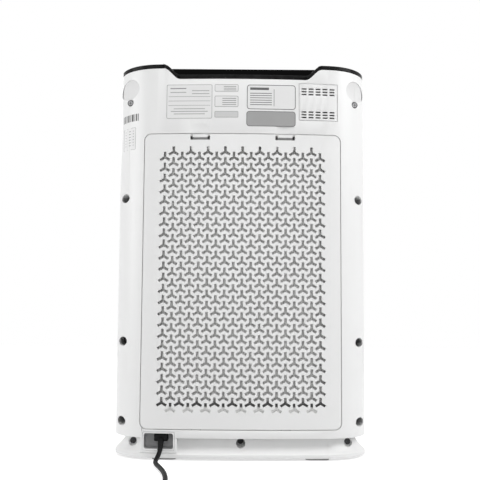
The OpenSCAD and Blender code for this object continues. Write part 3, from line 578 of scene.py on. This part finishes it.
def softened(name, source, width, material, slot, body="casing", angle=35, segments=2):
    """A CAD shape with its moulded edges rounded: a copy is merged, cleaned and bevelled."""
    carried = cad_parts[source]
    piece = bpy.data.objects.new(name, carried.data.copy())
    piece.data.name = name
    bpy.context.scene.collection.objects.link(piece)
    edit(piece)
    bpy.ops.mesh.select_all(action="SELECT")
    bpy.ops.mesh.remove_doubles(threshold=DOUBLES * MM)
    bpy.ops.mesh.dissolve_limited(angle_limit=LEVEL_ANGLE)
    bpy.ops.object.mode_set(mode="OBJECT")
    apply(piece, "BEVEL", width=width * MM, segments=segments, limit_method="ANGLE",
          angle_limit=math.radians(angle), use_clamp_overlap=False)
    done(piece)
    even_wall(piece)
    piece.data.materials.clear()
    return dress(piece, material, slot, source, body=body)


def paint(piece, material, test):
    """Gives the faces that pass the test a second finish."""
    piece.data.materials.append(material)
    for face in piece.data.polygons:
        if test(face):
            face.material_index = len(piece.data.materials) - 1


def filleted(corners, steps=4, longest=12.0):
    """A closed path through corners (x, z, radius), each rounded, with no side longer than the longest."""
    path = []
    for index, (x, z, radius) in enumerate(corners):
        at = Vector((x, z))
        back = (Vector(corners[index - 1][:2]) - at).normalized()
        ahead = (Vector(corners[(index + 1) % len(corners)][:2]) - at).normalized()
        half = back.angle(ahead) / 2
        centre = at + (back + ahead).normalized() * radius / math.sin(half)
        start = at + back * radius / math.tan(half) - centre
        end = at + ahead * radius / math.tan(half) - centre
        for step in range(steps + 1):
            path.append(centre + start.lerp(end, step / steps).normalized() * radius)
    full = []
    for point, following in zip(path, path[1:] + path[:1]):
        parts = int((following - point).length // longest) + 1
        full += [point.lerp(following, part / parts) for part in range(parts)]
    return full


def ring(name, path, y=0.0):
    """A circle primitive whose points are put on a path of the back view."""
    deselect()
    bpy.ops.mesh.primitive_circle_add(vertices=len(path), radius=10 * MM, fill_type="NOTHING")
    piece = named(name)
    for vertex, point in zip(piece.data.vertices, path):
        vertex.co = mm(point[0], y, point[1])
    return piece


def join(name, *pieces):
    """Makes one piece of several; the first one's finishes come first."""
    only(*pieces)
    bpy.ops.object.join()
    return named(name)


def onto_back(piece, lift=0.0):
    """Moves a flat back view onto the body's curved back; its own Y stays as a height over the surface."""
    for vertex in piece.data.vertices:
        vertex.co.y += (plan_y(vertex.co.x / MM) + lift) * MM


def cube(name, low, high, rounding=0.0, segments=2):
    """A block between two corners, with rounded edges if a rounding is given."""
    deselect()
    middle = [(a + b) / 2 * MM for a, b in zip(low, high)]
    bpy.ops.mesh.primitive_cube_add(size=1, location=middle, scale=[(b - a) * MM for a, b in zip(low, high)])
    piece = named(name)
    bpy.ops.object.transform_apply(location=True, rotation=True, scale=True)
    if rounding:
        edit(piece, "EDGE")
        bpy.ops.mesh.select_all(action="SELECT")
        bpy.ops.mesh.bevel(offset=rounding * MM, segments=segments, affect="EDGES")
        bpy.ops.object.mode_set(mode="OBJECT")
    return piece


def turned(name, start, direction, profile, sides=24):
    """A round piece drawn out ring by ring: profile is (distance along, radius)."""
    deselect()
    direction = Vector(direction).normalized()
    along, radius = profile[0]
    bpy.ops.mesh.primitive_circle_add(vertices=sides, radius=radius * MM, fill_type="NGON",
                                      location=mm(*start) + direction * along * MM,
                                      rotation=direction.to_track_quat("Z", "Y").to_euler())
    piece = named(name)
    bpy.ops.object.transform_apply(location=True, rotation=True, scale=True)
    edit(piece)
    bpy.ops.mesh.select_all(action="SELECT")
    for next_along, next_radius in profile[1:]:
        step = direction * (next_along - along) * MM
        bpy.ops.mesh.extrude_region_move(TRANSFORM_OT_translate={"value": step})
        if next_radius != radius:
            bpy.ops.transform.resize(value=(next_radius / radius,) * 3,
                                     center_override=mm(*start) + direction * next_along * MM)
        along, radius = next_along, next_radius
    bpy.ops.object.mode_set(mode="OBJECT")
    outward(piece)
    return piece


# ---- rear cover: one cell of the air holes, copied and joined to a border
COVER_LOW, COVER_HIGH = box_mm("rear_cover")
COVER_T, COVER_CORNER = 2.5, 8.5
PITCH_X, PITCH_Z = 11.85, 7.57
HOLES_TOP, HOLE_COLUMNS, HOLE_ROWS = 416.2, 19, 24
ARM, SLOT = 7.6, 3.6
CELL_PUSH = 2.0
NOTCH_X, NOTCH_HALF, NOTCH_H, NOTCH_CORNER = 58.5, 13.5, 8.0, 0.8
RIM_BEVEL, SHARP_EDGE = 0.3, 0.7
# how far points may lie apart and still count as the same, on the hole, between the cells and on the back
HOLE_SLACK, CELL_SLACK, BACK_SLACK = 0.01, 0.02, 0.05


def cell_outline():
    """A six-sided cell whose sides bulge where a neighbour's arm comes near; opposite sides match, so
    that the copies meet edge to edge."""
    side = math.hypot(PITCH_X, PITCH_Z)
    level_x = (PITCH_X ** 2 + PITCH_Z ** 2) / 2 / PITCH_X
    top_x = level_x - PITCH_Z ** 2 / PITCH_X
    slant = (PITCH_X * CELL_PUSH / side, PITCH_Z * CELL_PUSH / side)
    right, left = PITCH_X / 2, -PITCH_X / 2
    low, high = -PITCH_Z / 2, PITCH_Z / 2
    return [
        (top_x, PITCH_Z), (0, PITCH_Z + CELL_PUSH), (-top_x, PITCH_Z),
        (left + slant[0], high - slant[1]), (-level_x, 0), (left - slant[0], low - slant[1]),
        (-top_x, -PITCH_Z), (0, -PITCH_Z + CELL_PUSH), (top_x, -PITCH_Z),
        (right + slant[0], low - slant[1]), (level_x, 0), (right - slant[0], high - slant[1]),
    ]


def hole_outline():
    """A three-armed hole, anticlockwise from the right side of its upper arm's foot."""
    path = []
    for turned_by in (0, 120, 240):
        angle = math.radians(turned_by)
        for x, z in ((SLOT / 2, SLOT / 2 * math.tan(math.radians(30))), (SLOT / 2, ARM), (-SLOT / 2, ARM)):
            path.append((x * math.cos(angle) - z * math.sin(angle),
                         x * math.sin(angle) + z * math.cos(angle)))
    return path


def hole_field(name, x, z, columns, rows):
    """One cell with its three-armed hole still closed, repeated down and across."""
    corners = [(px + x, pz + z) for px, pz in hole_outline()]
    cell = ring(name + "_cell", [(px + x, pz + z) for px, pz in cell_outline()])
    hole = ring(name + "_hole", corners)
    piece = join(name, cell, hole)

    def of_hole(vertex):
        return any(abs(vertex.co.x / MM - px) + abs(vertex.co.z / MM - pz) < HOLE_SLACK for px, pz in corners)

    edit(piece, "EDGE")
    bpy.ops.mesh.select_all(action="SELECT")
    bpy.ops.mesh.fill(use_beauty=True)
    pick(piece, "EDGE", lambda edge: len(edge.link_faces) == 1
         and all(of_hole(vertex) for vertex in edge.verts))
    bpy.ops.mesh.edge_face_add()
    bpy.ops.object.mode_set(mode="OBJECT")
    for count, step in ((rows, mm(0, 0, -2 * PITCH_Z)), (columns, mm(2 * PITCH_X, 0, 0))):
        apply(piece, "ARRAY", count=count, use_relative_offset=False, use_constant_offset=True,
              constant_offset_displace=step)
    return piece


def cover_border():
    """The cover's edge with a notch for each latch."""
    bottom, top = COVER_LOW[2], COVER_HIGH[2]
    left, right = COVER_LOW[0], COVER_HIGH[0]
    corners = [(left, bottom, COVER_CORNER), (right, bottom, COVER_CORNER), (right, top, COVER_CORNER)]
    for side in (1, -1):
        near, far = side * NOTCH_X + NOTCH_HALF, side * NOTCH_X - NOTCH_HALF
        for x, z in ((near, top), (near, top - NOTCH_H), (far, top - NOTCH_H), (far, top)):
            corners.append((x, z, NOTCH_CORNER))
    return corners + [(left, top, COVER_CORNER)]


def at_back(vertex):
    return vertex.co.y / MM > plan_y(vertex.co.x / MM) - BACK_SLACK


# every second column stands half a row lower and has one hole less
first_x = -(HOLE_COLUMNS - 1) / 2 * PITCH_X
outer_field = hole_field("outer_field", first_x, HOLES_TOP - PITCH_Z, (HOLE_COLUMNS + 1) // 2, HOLE_ROWS - 1)
inner_field = hole_field("inner_field", first_x + PITCH_X, HOLES_TOP, HOLE_COLUMNS // 2, HOLE_ROWS)
cover = join("rear_cover_panel", outer_field, inner_field, ring("cover_border", filleted(cover_border())))
edit(cover, "VERT")
bpy.ops.mesh.select_all(action="SELECT")
bpy.ops.mesh.remove_doubles(threshold=CELL_SLACK * MM)
bpy.ops.mesh.select_mode(type="EDGE")
pick(cover, "EDGE", lambda edge: len(edge.link_faces) < 2)
bpy.ops.mesh.fill(use_beauty=True)
# the closed holes are the only faces with nine sides
bpy.ops.mesh.select_mode(type="FACE")
pick(cover, "FACE", lambda face: len(face.verts) == 9)
bpy.ops.mesh.delete(type="FACE")
bpy.ops.object.mode_set(mode="OBJECT")
onto_back(cover)
edit(cover)
bpy.ops.mesh.select_all(action="SELECT")
bpy.ops.mesh.extrude_region_move(TRANSFORM_OT_translate={"value": mm(0, -COVER_T, 0)})
bpy.ops.mesh.select_all(action="SELECT")
bpy.ops.mesh.normals_make_consistent(inside=False)
bpy.ops.mesh.select_mode(type="EDGE")
pick(cover, "EDGE", lambda edge: len(edge.link_faces) == 2 and edge.calc_face_angle() > SHARP_EDGE
     and all(at_back(vertex) for vertex in edge.verts))
bpy.ops.mesh.bevel(offset=RIM_BEVEL * MM, segments=1, affect="EDGES", clamp_overlap=False)
done(cover)
even_wall(cover)
dress(cover, white_shell, "white_shell", "rear_cover", body="rear_cover")

# ---- shells and trim with moulded edges
DISH_X, DISH_Z, DISH_R, DISH_LEAST, DISH_MOST = 159.0, 508.3, 14.2, 0.3, 5
# the painted shade on each latch covers its back-facing faces below this height and this far in
SLIDE_TOP, SLIDE_DEPTH = 437.5, 1.5
INLET_X, INLET_W, INLET_Z0, INLET_H = 110.0, 39.5, 14.6, 20.4
INLET_RIM, INLET_RIM_Y, INLET_RIM_DEPTH = 0.35, 85, 1.5


def height_over_back(face):
    return face.center.y / MM - plan_y(face.center.x / MM)


def in_dish(face):
    """The floors of the two corner dishes, which get a painted shade."""
    reach = math.hypot(abs(face.center.x) / MM - DISH_X, face.center.z / MM - DISH_Z)
    return reach < DISH_R and face.normal.y > 0.1 and DISH_LEAST < -height_over_back(face) < DISH_MOST


def on_inlet_rim(face):
    """The inlet's frame: what faces backwards at the surface, or lies outside its opening."""
    across = abs(face.center.x / MM - INLET_X)
    up = abs(face.center.z / MM - INLET_Z0 - INLET_H / 2)
    return face.center.y / MM > INLET_RIM_Y and (
        face.normal.y > 0.6 and height_over_back(face) > -INLET_RIM_DEPTH
        or across > INLET_W / 2 + INLET_RIM or up > INLET_H / 2 + INLET_RIM)


casing = softened("rear_casing", "rear_shell", 0.6, white_shell, "white_shell")
# the dish floors get a painted shade
paint(casing, dish_shade_grey, in_dish)
softened("front_casing", "front_shell", 0.6, white_shell, "white_shell")
softened("plinth", "base_plinth", 0.25, white_shell, "white_shell", angle=50)
softened("top_trim", "top_cover", 0.9, gloss_black, "gloss_black", segments=3)
softened("air_quality_door", "sensor_door", 0.25, white_shell, "white_shell", body="sensor_door")
for side in ("left", "right"):
    latch = softened("cover_latch_" + side, "latch_" + side, 0.4, white_shell, "white_shell",
                     body="latch_" + side)
    # the recessed lower faces of each latch, down in its notch, get a painted shade
    slide_y = box_mm("latch_" + side)[1][1] - SLIDE_DEPTH
    paint(latch, latch_shade_grey, lambda face: face.normal.y > 0.5 and face.center.z / MM < SLIDE_TOP
          and face.center.y / MM < slide_y)
inlet = softened("inlet_surround", "inlet_socket", 0.3, recess_grey, "dark_grey")
paint(inlet, white_shell, on_inlet_rim)
softened("outlet_louvres", "outlet_grille", 0.25, black_plastic, "black_plastic")
softened("top_panel", "control_panel", 0.4, gloss_black, "gloss_black")
softened("display_window", "front_display", 0.4, smoked_window, "smoked_window")
softened("rubber_feet", "feet", 0.5, rubber_grey, "rubber_grey")

# ---- label places: bare plates with a plain border and ruled lines
PLATE_T, PLATE_SINK = 0.25, 0.1
LINE_T, LINE_LIFT = 0.09, 0.1
GRID_STEP = 9


def sheet(name, x0, x1, z0, z1, lift, thickness, rounding=0.0, border=0.0):
    """A thin sheet on the curved back, with a border band around its face if a width is given."""
    deselect()
    across = int((x1 - x0) // GRID_STEP) + 1
    middle = mm((x0 + x1) / 2, 0, (z0 + z1) / 2)
    bpy.ops.mesh.primitive_grid_add(x_subdivisions=across, y_subdivisions=1, size=1, location=middle,
                                    rotation=(-math.pi / 2, 0, 0))
    piece = named(name)
    piece.scale = ((x1 - x0) * MM, (z1 - z0) * MM, 1)
    bpy.ops.object.transform_apply(location=True, rotation=True, scale=True)
    edit(piece, "VERT")
    if rounding:
        pick(piece, "VERT", lambda vert: len(vert.link_edges) == 2)
        bpy.ops.mesh.bevel(offset=rounding * MM, offset_type="OFFSET", segments=4, affect="VERTICES")
    if border:
        bpy.ops.mesh.select_mode(type="FACE")
        bpy.ops.mesh.select_all(action="SELECT")
        bpy.ops.mesh.inset(thickness=border * MM, depth=0, use_boundary=True, use_even_offset=True)
    bpy.ops.object.mode_set(mode="OBJECT")
    if border:
        # the inset leaves the inner face selected: it takes the first finish, the band the second
        for face in piece.data.polygons:
            face.material_index = 0 if face.select else 1
    onto_back(piece, lift + thickness)
    edit(piece)
    bpy.ops.mesh.select_all(action="SELECT")
    bpy.ops.mesh.extrude_region_move(TRANSFORM_OT_translate={"value": mm(0, -thickness, 0)})
    bpy.ops.object.mode_set(mode="OBJECT")
    outward(piece)
    return piece


def rules(x0, x1, heights, thick):
    """Ruled lines of one length, one at each height."""
    return [(x0, x1, z, thick) for z in heights]


def label(name, x0, x1, z0, z1, face, rounding, border, ink, lines=()):
    """A label plate; lines are (x0, x1, z, height) from the plate's corner, each a plain inked rule."""
    plate = sheet(name + "_plate", x0, x1, z0, z1, -PLATE_SINK, PLATE_T, rounding, border)
    plate.data.materials.append(face)
    plate.data.materials.append(ink)
    parts = [plate]
    for index, (start, end, z, height) in enumerate(lines):
        line = sheet(f"{name}_line_{index}", x0 + start, x0 + end, z0 + z, z0 + z + height, LINE_LIFT, LINE_T)
        line.data.materials.append(ink)
        parts.append(line)
    made = join(name, *parts)
    done(made)
    return dress(made, face, None)


label("rating_label", 42.5, 105.5, 462.7, 510.4, label_white, 2.0, 0.55, ink_pale,
      rules(36, 58, (41.6,), 1.3) + rules(36, 58, (36.4,), 0.8) + rules(4, 28, (38.6, 34.4), 0.8)
      + rules(2.5, 60.5, (30.6, 24.4, 18.2), 0.5) + rules(10, 53, (13.2, 6), 0.8) + rules(6, 57, (9.6,), 0.8))
label("upper_small_label", 6.4, 39.0, 500.7, 510.7, label_white, 1.5, 0.5, ink_pale,
      rules(3, 20, (6.6, 4.2, 1.8), 0.8))
label("middle_small_label", 6.4, 39.0, 479.1, 494.5, label_white, 1.5, 0.6, ink_pale,
      rules(3, 22, (11.4, 8.4, 5.4, 2.6), 0.9))
label("lower_small_label", 6.4, 39.0, 464.2, 472.9, label_silver, 1.2, 0.5, ink_pale)
label("use_label", -72.9, -5.5, 476.0, 510.5, label_white, 4.0, 0.9, ink_dark,
      rules(37, 63, (27.2,), 3.4) + rules(33, 63, (22, 18.8, 15.6, 12.4, 9.2, 6), 0.9)
      + rules(29.6, 30.2, (4.5,), 24))
label("grey_label", -72.8, -4.9, 452.1, 473.4, label_grey, 4.0, 0.8, ink_dark)
label("corner_label", 149.0, 168.0, 422.0, 453.0, label_white, 1.0, 0.35, ink_pale,
      rules(3, 16, range(26, 5, -4), 0.8))

# a row of plain bars beside the corner label: start and width of each
BARS = [(0, 1.0), (2.2, 2.0), (5.4, 1.0), (7.6, 3.0), (11.8, 1.0), (14.2, 2.2), (17.6, 1.0), (19.8, 1.6),
        (22.8, 1.0)]
BARS_X, BARS_Z0, BARS_Z1, BAR_T = 145, 462, 472, 0.2
bars = []
for index, (start, width) in enumerate(BARS):
    x = BARS_X + start
    bars.append(sheet(f"corner_bar_{index}", x, x + width, BARS_Z0, BARS_Z1, -PLATE_SINK, BAR_T))
corner_bars = join("corner_bars", *bars)
corner_bars.data.materials.append(ink_dark)
done(corner_bars)
dress(corner_bars, ink_dark, None)

# ---- mains lead's ends: plug at the inlet, plug for the wall, coil's tie
PLUG_DEPTH, PLUG_HEIGHT = 13.0, 10.0
BOOT_START, BOOT_END = Vector((106.8, 89.0, 28.6)), Vector((107.0, 104.0, 14.0))
WALL_PLUG_END, WALL_BOOT = 11.0, 24
GRIP_FIRST, GRIP_STEP, GRIP_W, GRIP_T, GRIP_INSET = -12, 5, 2, 0.6, 5.5
BLADE_GAP, BLADE_T, BLADE_SINK = 6.35, 1.5, 1.0
TIE_W, TIE_T = 6.0, 0.7
# half widths of a groove at its top and its floor, and how a boot's end is rounded off
GROOVE_TOP, GROOVE_FLOOR = 0.9, 0.6
END_LENGTH, END_DROP = 0.5, 0.35


def ribs(length, thick, thin, count, groove=0.55):
    """Profile of a strain relief that goes from one radius to another, with a groove after each rib."""
    profile = [(0, thick)]
    for index in range(count):
        share = (index + 1) / (count + 1)
        radius = thick + (thin - thick) * share
        at = length * share
        profile += [(at - GROOVE_TOP, radius), (at - GROOVE_FLOOR, radius - groove),
                    (at + GROOVE_FLOOR, radius - groove), (at + GROOVE_TOP, radius)]
    return profile + [(length - END_LENGTH, thin), (length, thin - END_DROP)]


low, high = box_mm("plug_connector")
block = cube("plug_block", (low[0], low[1], high[2] - PLUG_HEIGHT),
             (high[0], low[1] + PLUG_DEPTH, high[2]), 1.2, 3)
boot = BOOT_END - BOOT_START
relief = turned("plug_relief", BOOT_START, boot, ribs(boot.length, 4.4, 3.3, 6), 20)
inlet_plug = join("inlet_plug", block, relief)
done(inlet_plug)
dress(inlet_plug, cord_black, "cord_black", "plug_connector")

low, high = box_mm("mains_plug")
plug_y, plug_z = (low[1] + high[1]) / 2, (low[2] + high[2]) / 2
shell = cube("plug_shell", low, (WALL_PLUG_END, high[1], high[2]), 4.5, 4)
# the last two steps of the profile would round off the end that goes into the shell
profile = ribs(WALL_BOOT, 3.3, 5.5, 6, 0.6)[:-2] + [(WALL_BOOT, 5.5)]
parts = [shell, turned("wall_plug_relief", (high[0], plug_y, plug_z), (-1, 0, 0), profile, 20)]
for index in range(4):
    x = GRIP_FIRST + GRIP_STEP * index
    for z in (low[2], high[2] - GRIP_T):
        parts.append(cube(f"grip_{index}_{z}", (x, low[1] + GRIP_INSET, z),
                          (x + GRIP_W, high[1] - GRIP_INSET, z + GRIP_T), 0.2, 1))
wall_plug = join("wall_plug", *parts)
done(wall_plug)
dress(wall_plug, cord_black, "cord_black", "mains_plug")

low, high = box_mm("plug_pins")
blades = []
for side in (-1, 1):
    y = plug_y + side * BLADE_GAP
    blades.append(cube(f"blade_{side}", (low[0], y - BLADE_T / 2, low[2]),
                       (high[0] + BLADE_SINK, y + BLADE_T / 2, high[2]), 0.35, 2))
plug_blades = join("plug_blades", *blades)
done(plug_blades)
dress(plug_blades, brass_pins, "brass_pins", "plug_pins")

tie_path = filleted([(4.2, 0.05, 1.2), (23.8, 0.05, 1.2), (23.8, 12.6, 2.2), (11.6, 12.6, 2.5),
                     (4.2, 6.4, 2.0)], 3)
tie = ring("coil_tie", tie_path, COIL_Y - TIE_W / 2)
edit(tie, "EDGE")
bpy.ops.mesh.select_all(action="SELECT")
bpy.ops.mesh.extrude_region_move(TRANSFORM_OT_translate={"value": mm(0, TIE_W, 0)})
bpy.ops.object.mode_set(mode="OBJECT")
outward(tie)
apply(tie, "SOLIDIFY", thickness=TIE_T * MM, offset=-1)
done(tie)
dress(tie, tie_grey, "cord_black")

# ---- capped screws under the corner dishes: a head with a raised rim and a cross; the rim and what lies around it get a painted shade, and the cross is dark bars that stand in for the shade of a cross recess
CAP_X, CAP_Y, CAP_Z = 158.0, 76.0, 489.4
CAP_PROFILE = [(-24, 2), (0, 2), (0.02, 4.2), (2.2, 4.2), (2.6, 3.8), (2.6, 3.1), (2.2, 2.9), (2.18, 0.4)]
CAP_FACE_R, CROSS_LONG, CROSS_WIDE, CROSS_LOW, CROSS_HIGH = 3, 4.2, 0.8, 2, 2.26


def beside_cap(face):
    """The rim of a screw head and all that lies outside it, which get a painted shade."""
    reach = math.hypot(abs(face.center.x) / MM - CAP_X, face.center.z / MM - CAP_Z)
    return reach > CAP_FACE_R and face.center.y / MM > CAP_Y + 0.5


heads = []
for side in (-1, 1):
    x = side * CAP_X
    screw = turned(f"cap_screw_{side}", (x, CAP_Y, CAP_Z), (0, 1, 0), CAP_PROFILE, 32)
    screw.data.materials.append(zinc_screw)
    # painted shade: the head's rim and what lies around it are dark grey
    paint(screw, dark_grey, beside_cap)
    heads.append(screw)
    # a dark cross of thin bars, barely proud of the head, painted where a cross recess would lie in shade
    for across, up in ((CROSS_LONG, CROSS_WIDE), (CROSS_WIDE, CROSS_LONG)):
        bar = cube(f"cap_cross_{side}_{up}", (x - across / 2, CAP_Y + CROSS_LOW, CAP_Z - up / 2),
                   (x + across / 2, CAP_Y + CROSS_HIGH, CAP_Z + up / 2))
        bar.data.materials.append(ink_dark)
        heads.append(bar)
cap_screws = join("cap_screws", *heads)
done(cap_screws)
dress(cap_screws, zinc_screw, "steel", "top_screws")

# ---- top buttons, each a collar with a shallow finger dish
COLLAR, COLLAR_H = 1.4, 2.0
for name in ("power", "speed", "timer", "mode", "lock"):
    low, high = box_mm("button_" + name)
    place = ((low[0] + high[0]) / 2, (low[1] + high[1]) / 2, low[2])
    rim, top = (high[0] - low[0]) / 2, high[2] - low[2]
    key = rim - COLLAR
    cap = turned("key_" + name, place, (0, 0, 1),
                 [(0, rim), (COLLAR_H, rim), (COLLAR_H + 0.01, key), (top - 0.4, key),
                  (top - 0.1, key - 0.25), (top, key - 0.7), (top - 0.1, key - 1.6), (top - 0.35, key - 3),
                  (top - 0.5, 0.4)], 40)
    done(cap)
    dress(cap, button_grey, "button_grey", "button_" + name, body="button_" + name)

# ---- floor, light and background
FLOOR_SIZE, FLOOR_DROP, FLOOR_LIFT = 8, 0.0003, 0.66
WORLD_LIGHT, WORLD_SEEN = 0.37, 1.0


def seen_rays(tree):
    """The kinds of ray, and 1 for what is seen directly or mirrored, 0 for the light that falls on things."""
    rays = node(tree, "LightPath").outputs
    return rays, maths(tree, "MAXIMUM", rays["Is Camera Ray"], rays["Is Glossy Ray"])


deselect()
bpy.ops.mesh.primitive_plane_add(size=FLOOR_SIZE, location=(0, 0, -FLOOR_DROP))
floor = named("floor")
done(floor)
material, tree, shader, place = start_material("pale_floor")
skin = use(tree, SKIN, Vector=place, Colour=grey(0.66), Deep_Colour=grey(0.64), Patch_Scale=2.0,
           Grain_Scale=60.0, Roughness=0.7, Roughness_Range=0.05)
surface(tree, shader, skin["Colour"], skin["Roughness"])
rays, seen = seen_rays(tree)
glow = node(tree, "Emission", {"Color": grey(1.0), "Strength": maths(tree, "MULTIPLY", seen, FLOOR_LIFT)})
both = node(tree, "AddShader", {0: shader.outputs[0], 1: glow.outputs[0]})
tree.links.new(both.outputs[0], tree.nodes["Material Output"].inputs["Surface"])
floor.data.materials.append(material)

world = bpy.data.worlds.new("studio")
bpy.context.scene.world = world
world.use_nodes = True
tree = world.node_tree
tree.nodes.clear()
rays, seen = seen_rays(tree)
seen = maths(tree, "MAXIMUM", seen, rays["Is Transmission Ray"])
strength = node(tree, "MapRange", {"Value": seen, "To Min": WORLD_LIGHT, "To Max": WORLD_SEEN})
backdrop = node(tree, "Background", {"Color": grey(1.0), "Strength": strength.outputs[0]})
node(tree, "OutputWorld", {"Surface": backdrop.outputs[0]})


def lamp(name, place, aim, size, power):
    """A soft rectangular lamp that looks at a point."""
    data = bpy.data.lights.new(name, "AREA")
    data.shape = "RECTANGLE"
    data.size, data.size_y = size
    data.energy = power
    made = bpy.data.objects.new(name, data)
    bpy.context.scene.collection.objects.link(made)
    made.location = place
    made.rotation_euler = (Vector(aim) - Vector(place)).to_track_quat("-Z", "Y").to_euler()


lamp("key", (-1.7, 0.8, 1.5), (0, 0, 0.35), (1.2, 1.0), 27)
lamp("side", (1.8, 0.5, 0.8), (0.1, 0, 0.3), (1.0, 1.2), 14)
lamp("front", (0.6, -1.9, 1.3), (0, 0, 0.3), (1.2, 1.0), 9)
lamp("by the camera", (0.0, 1.7, 0.55), (0, 0, 0.35), (0.5, 0.4), 2.4)
lamp("overhead", (0, 0.5, 1.9), (0, 0, 0.3), (1.6, 1.2), 8)

bpy.context.scene.view_settings.view_transform = "Standard"
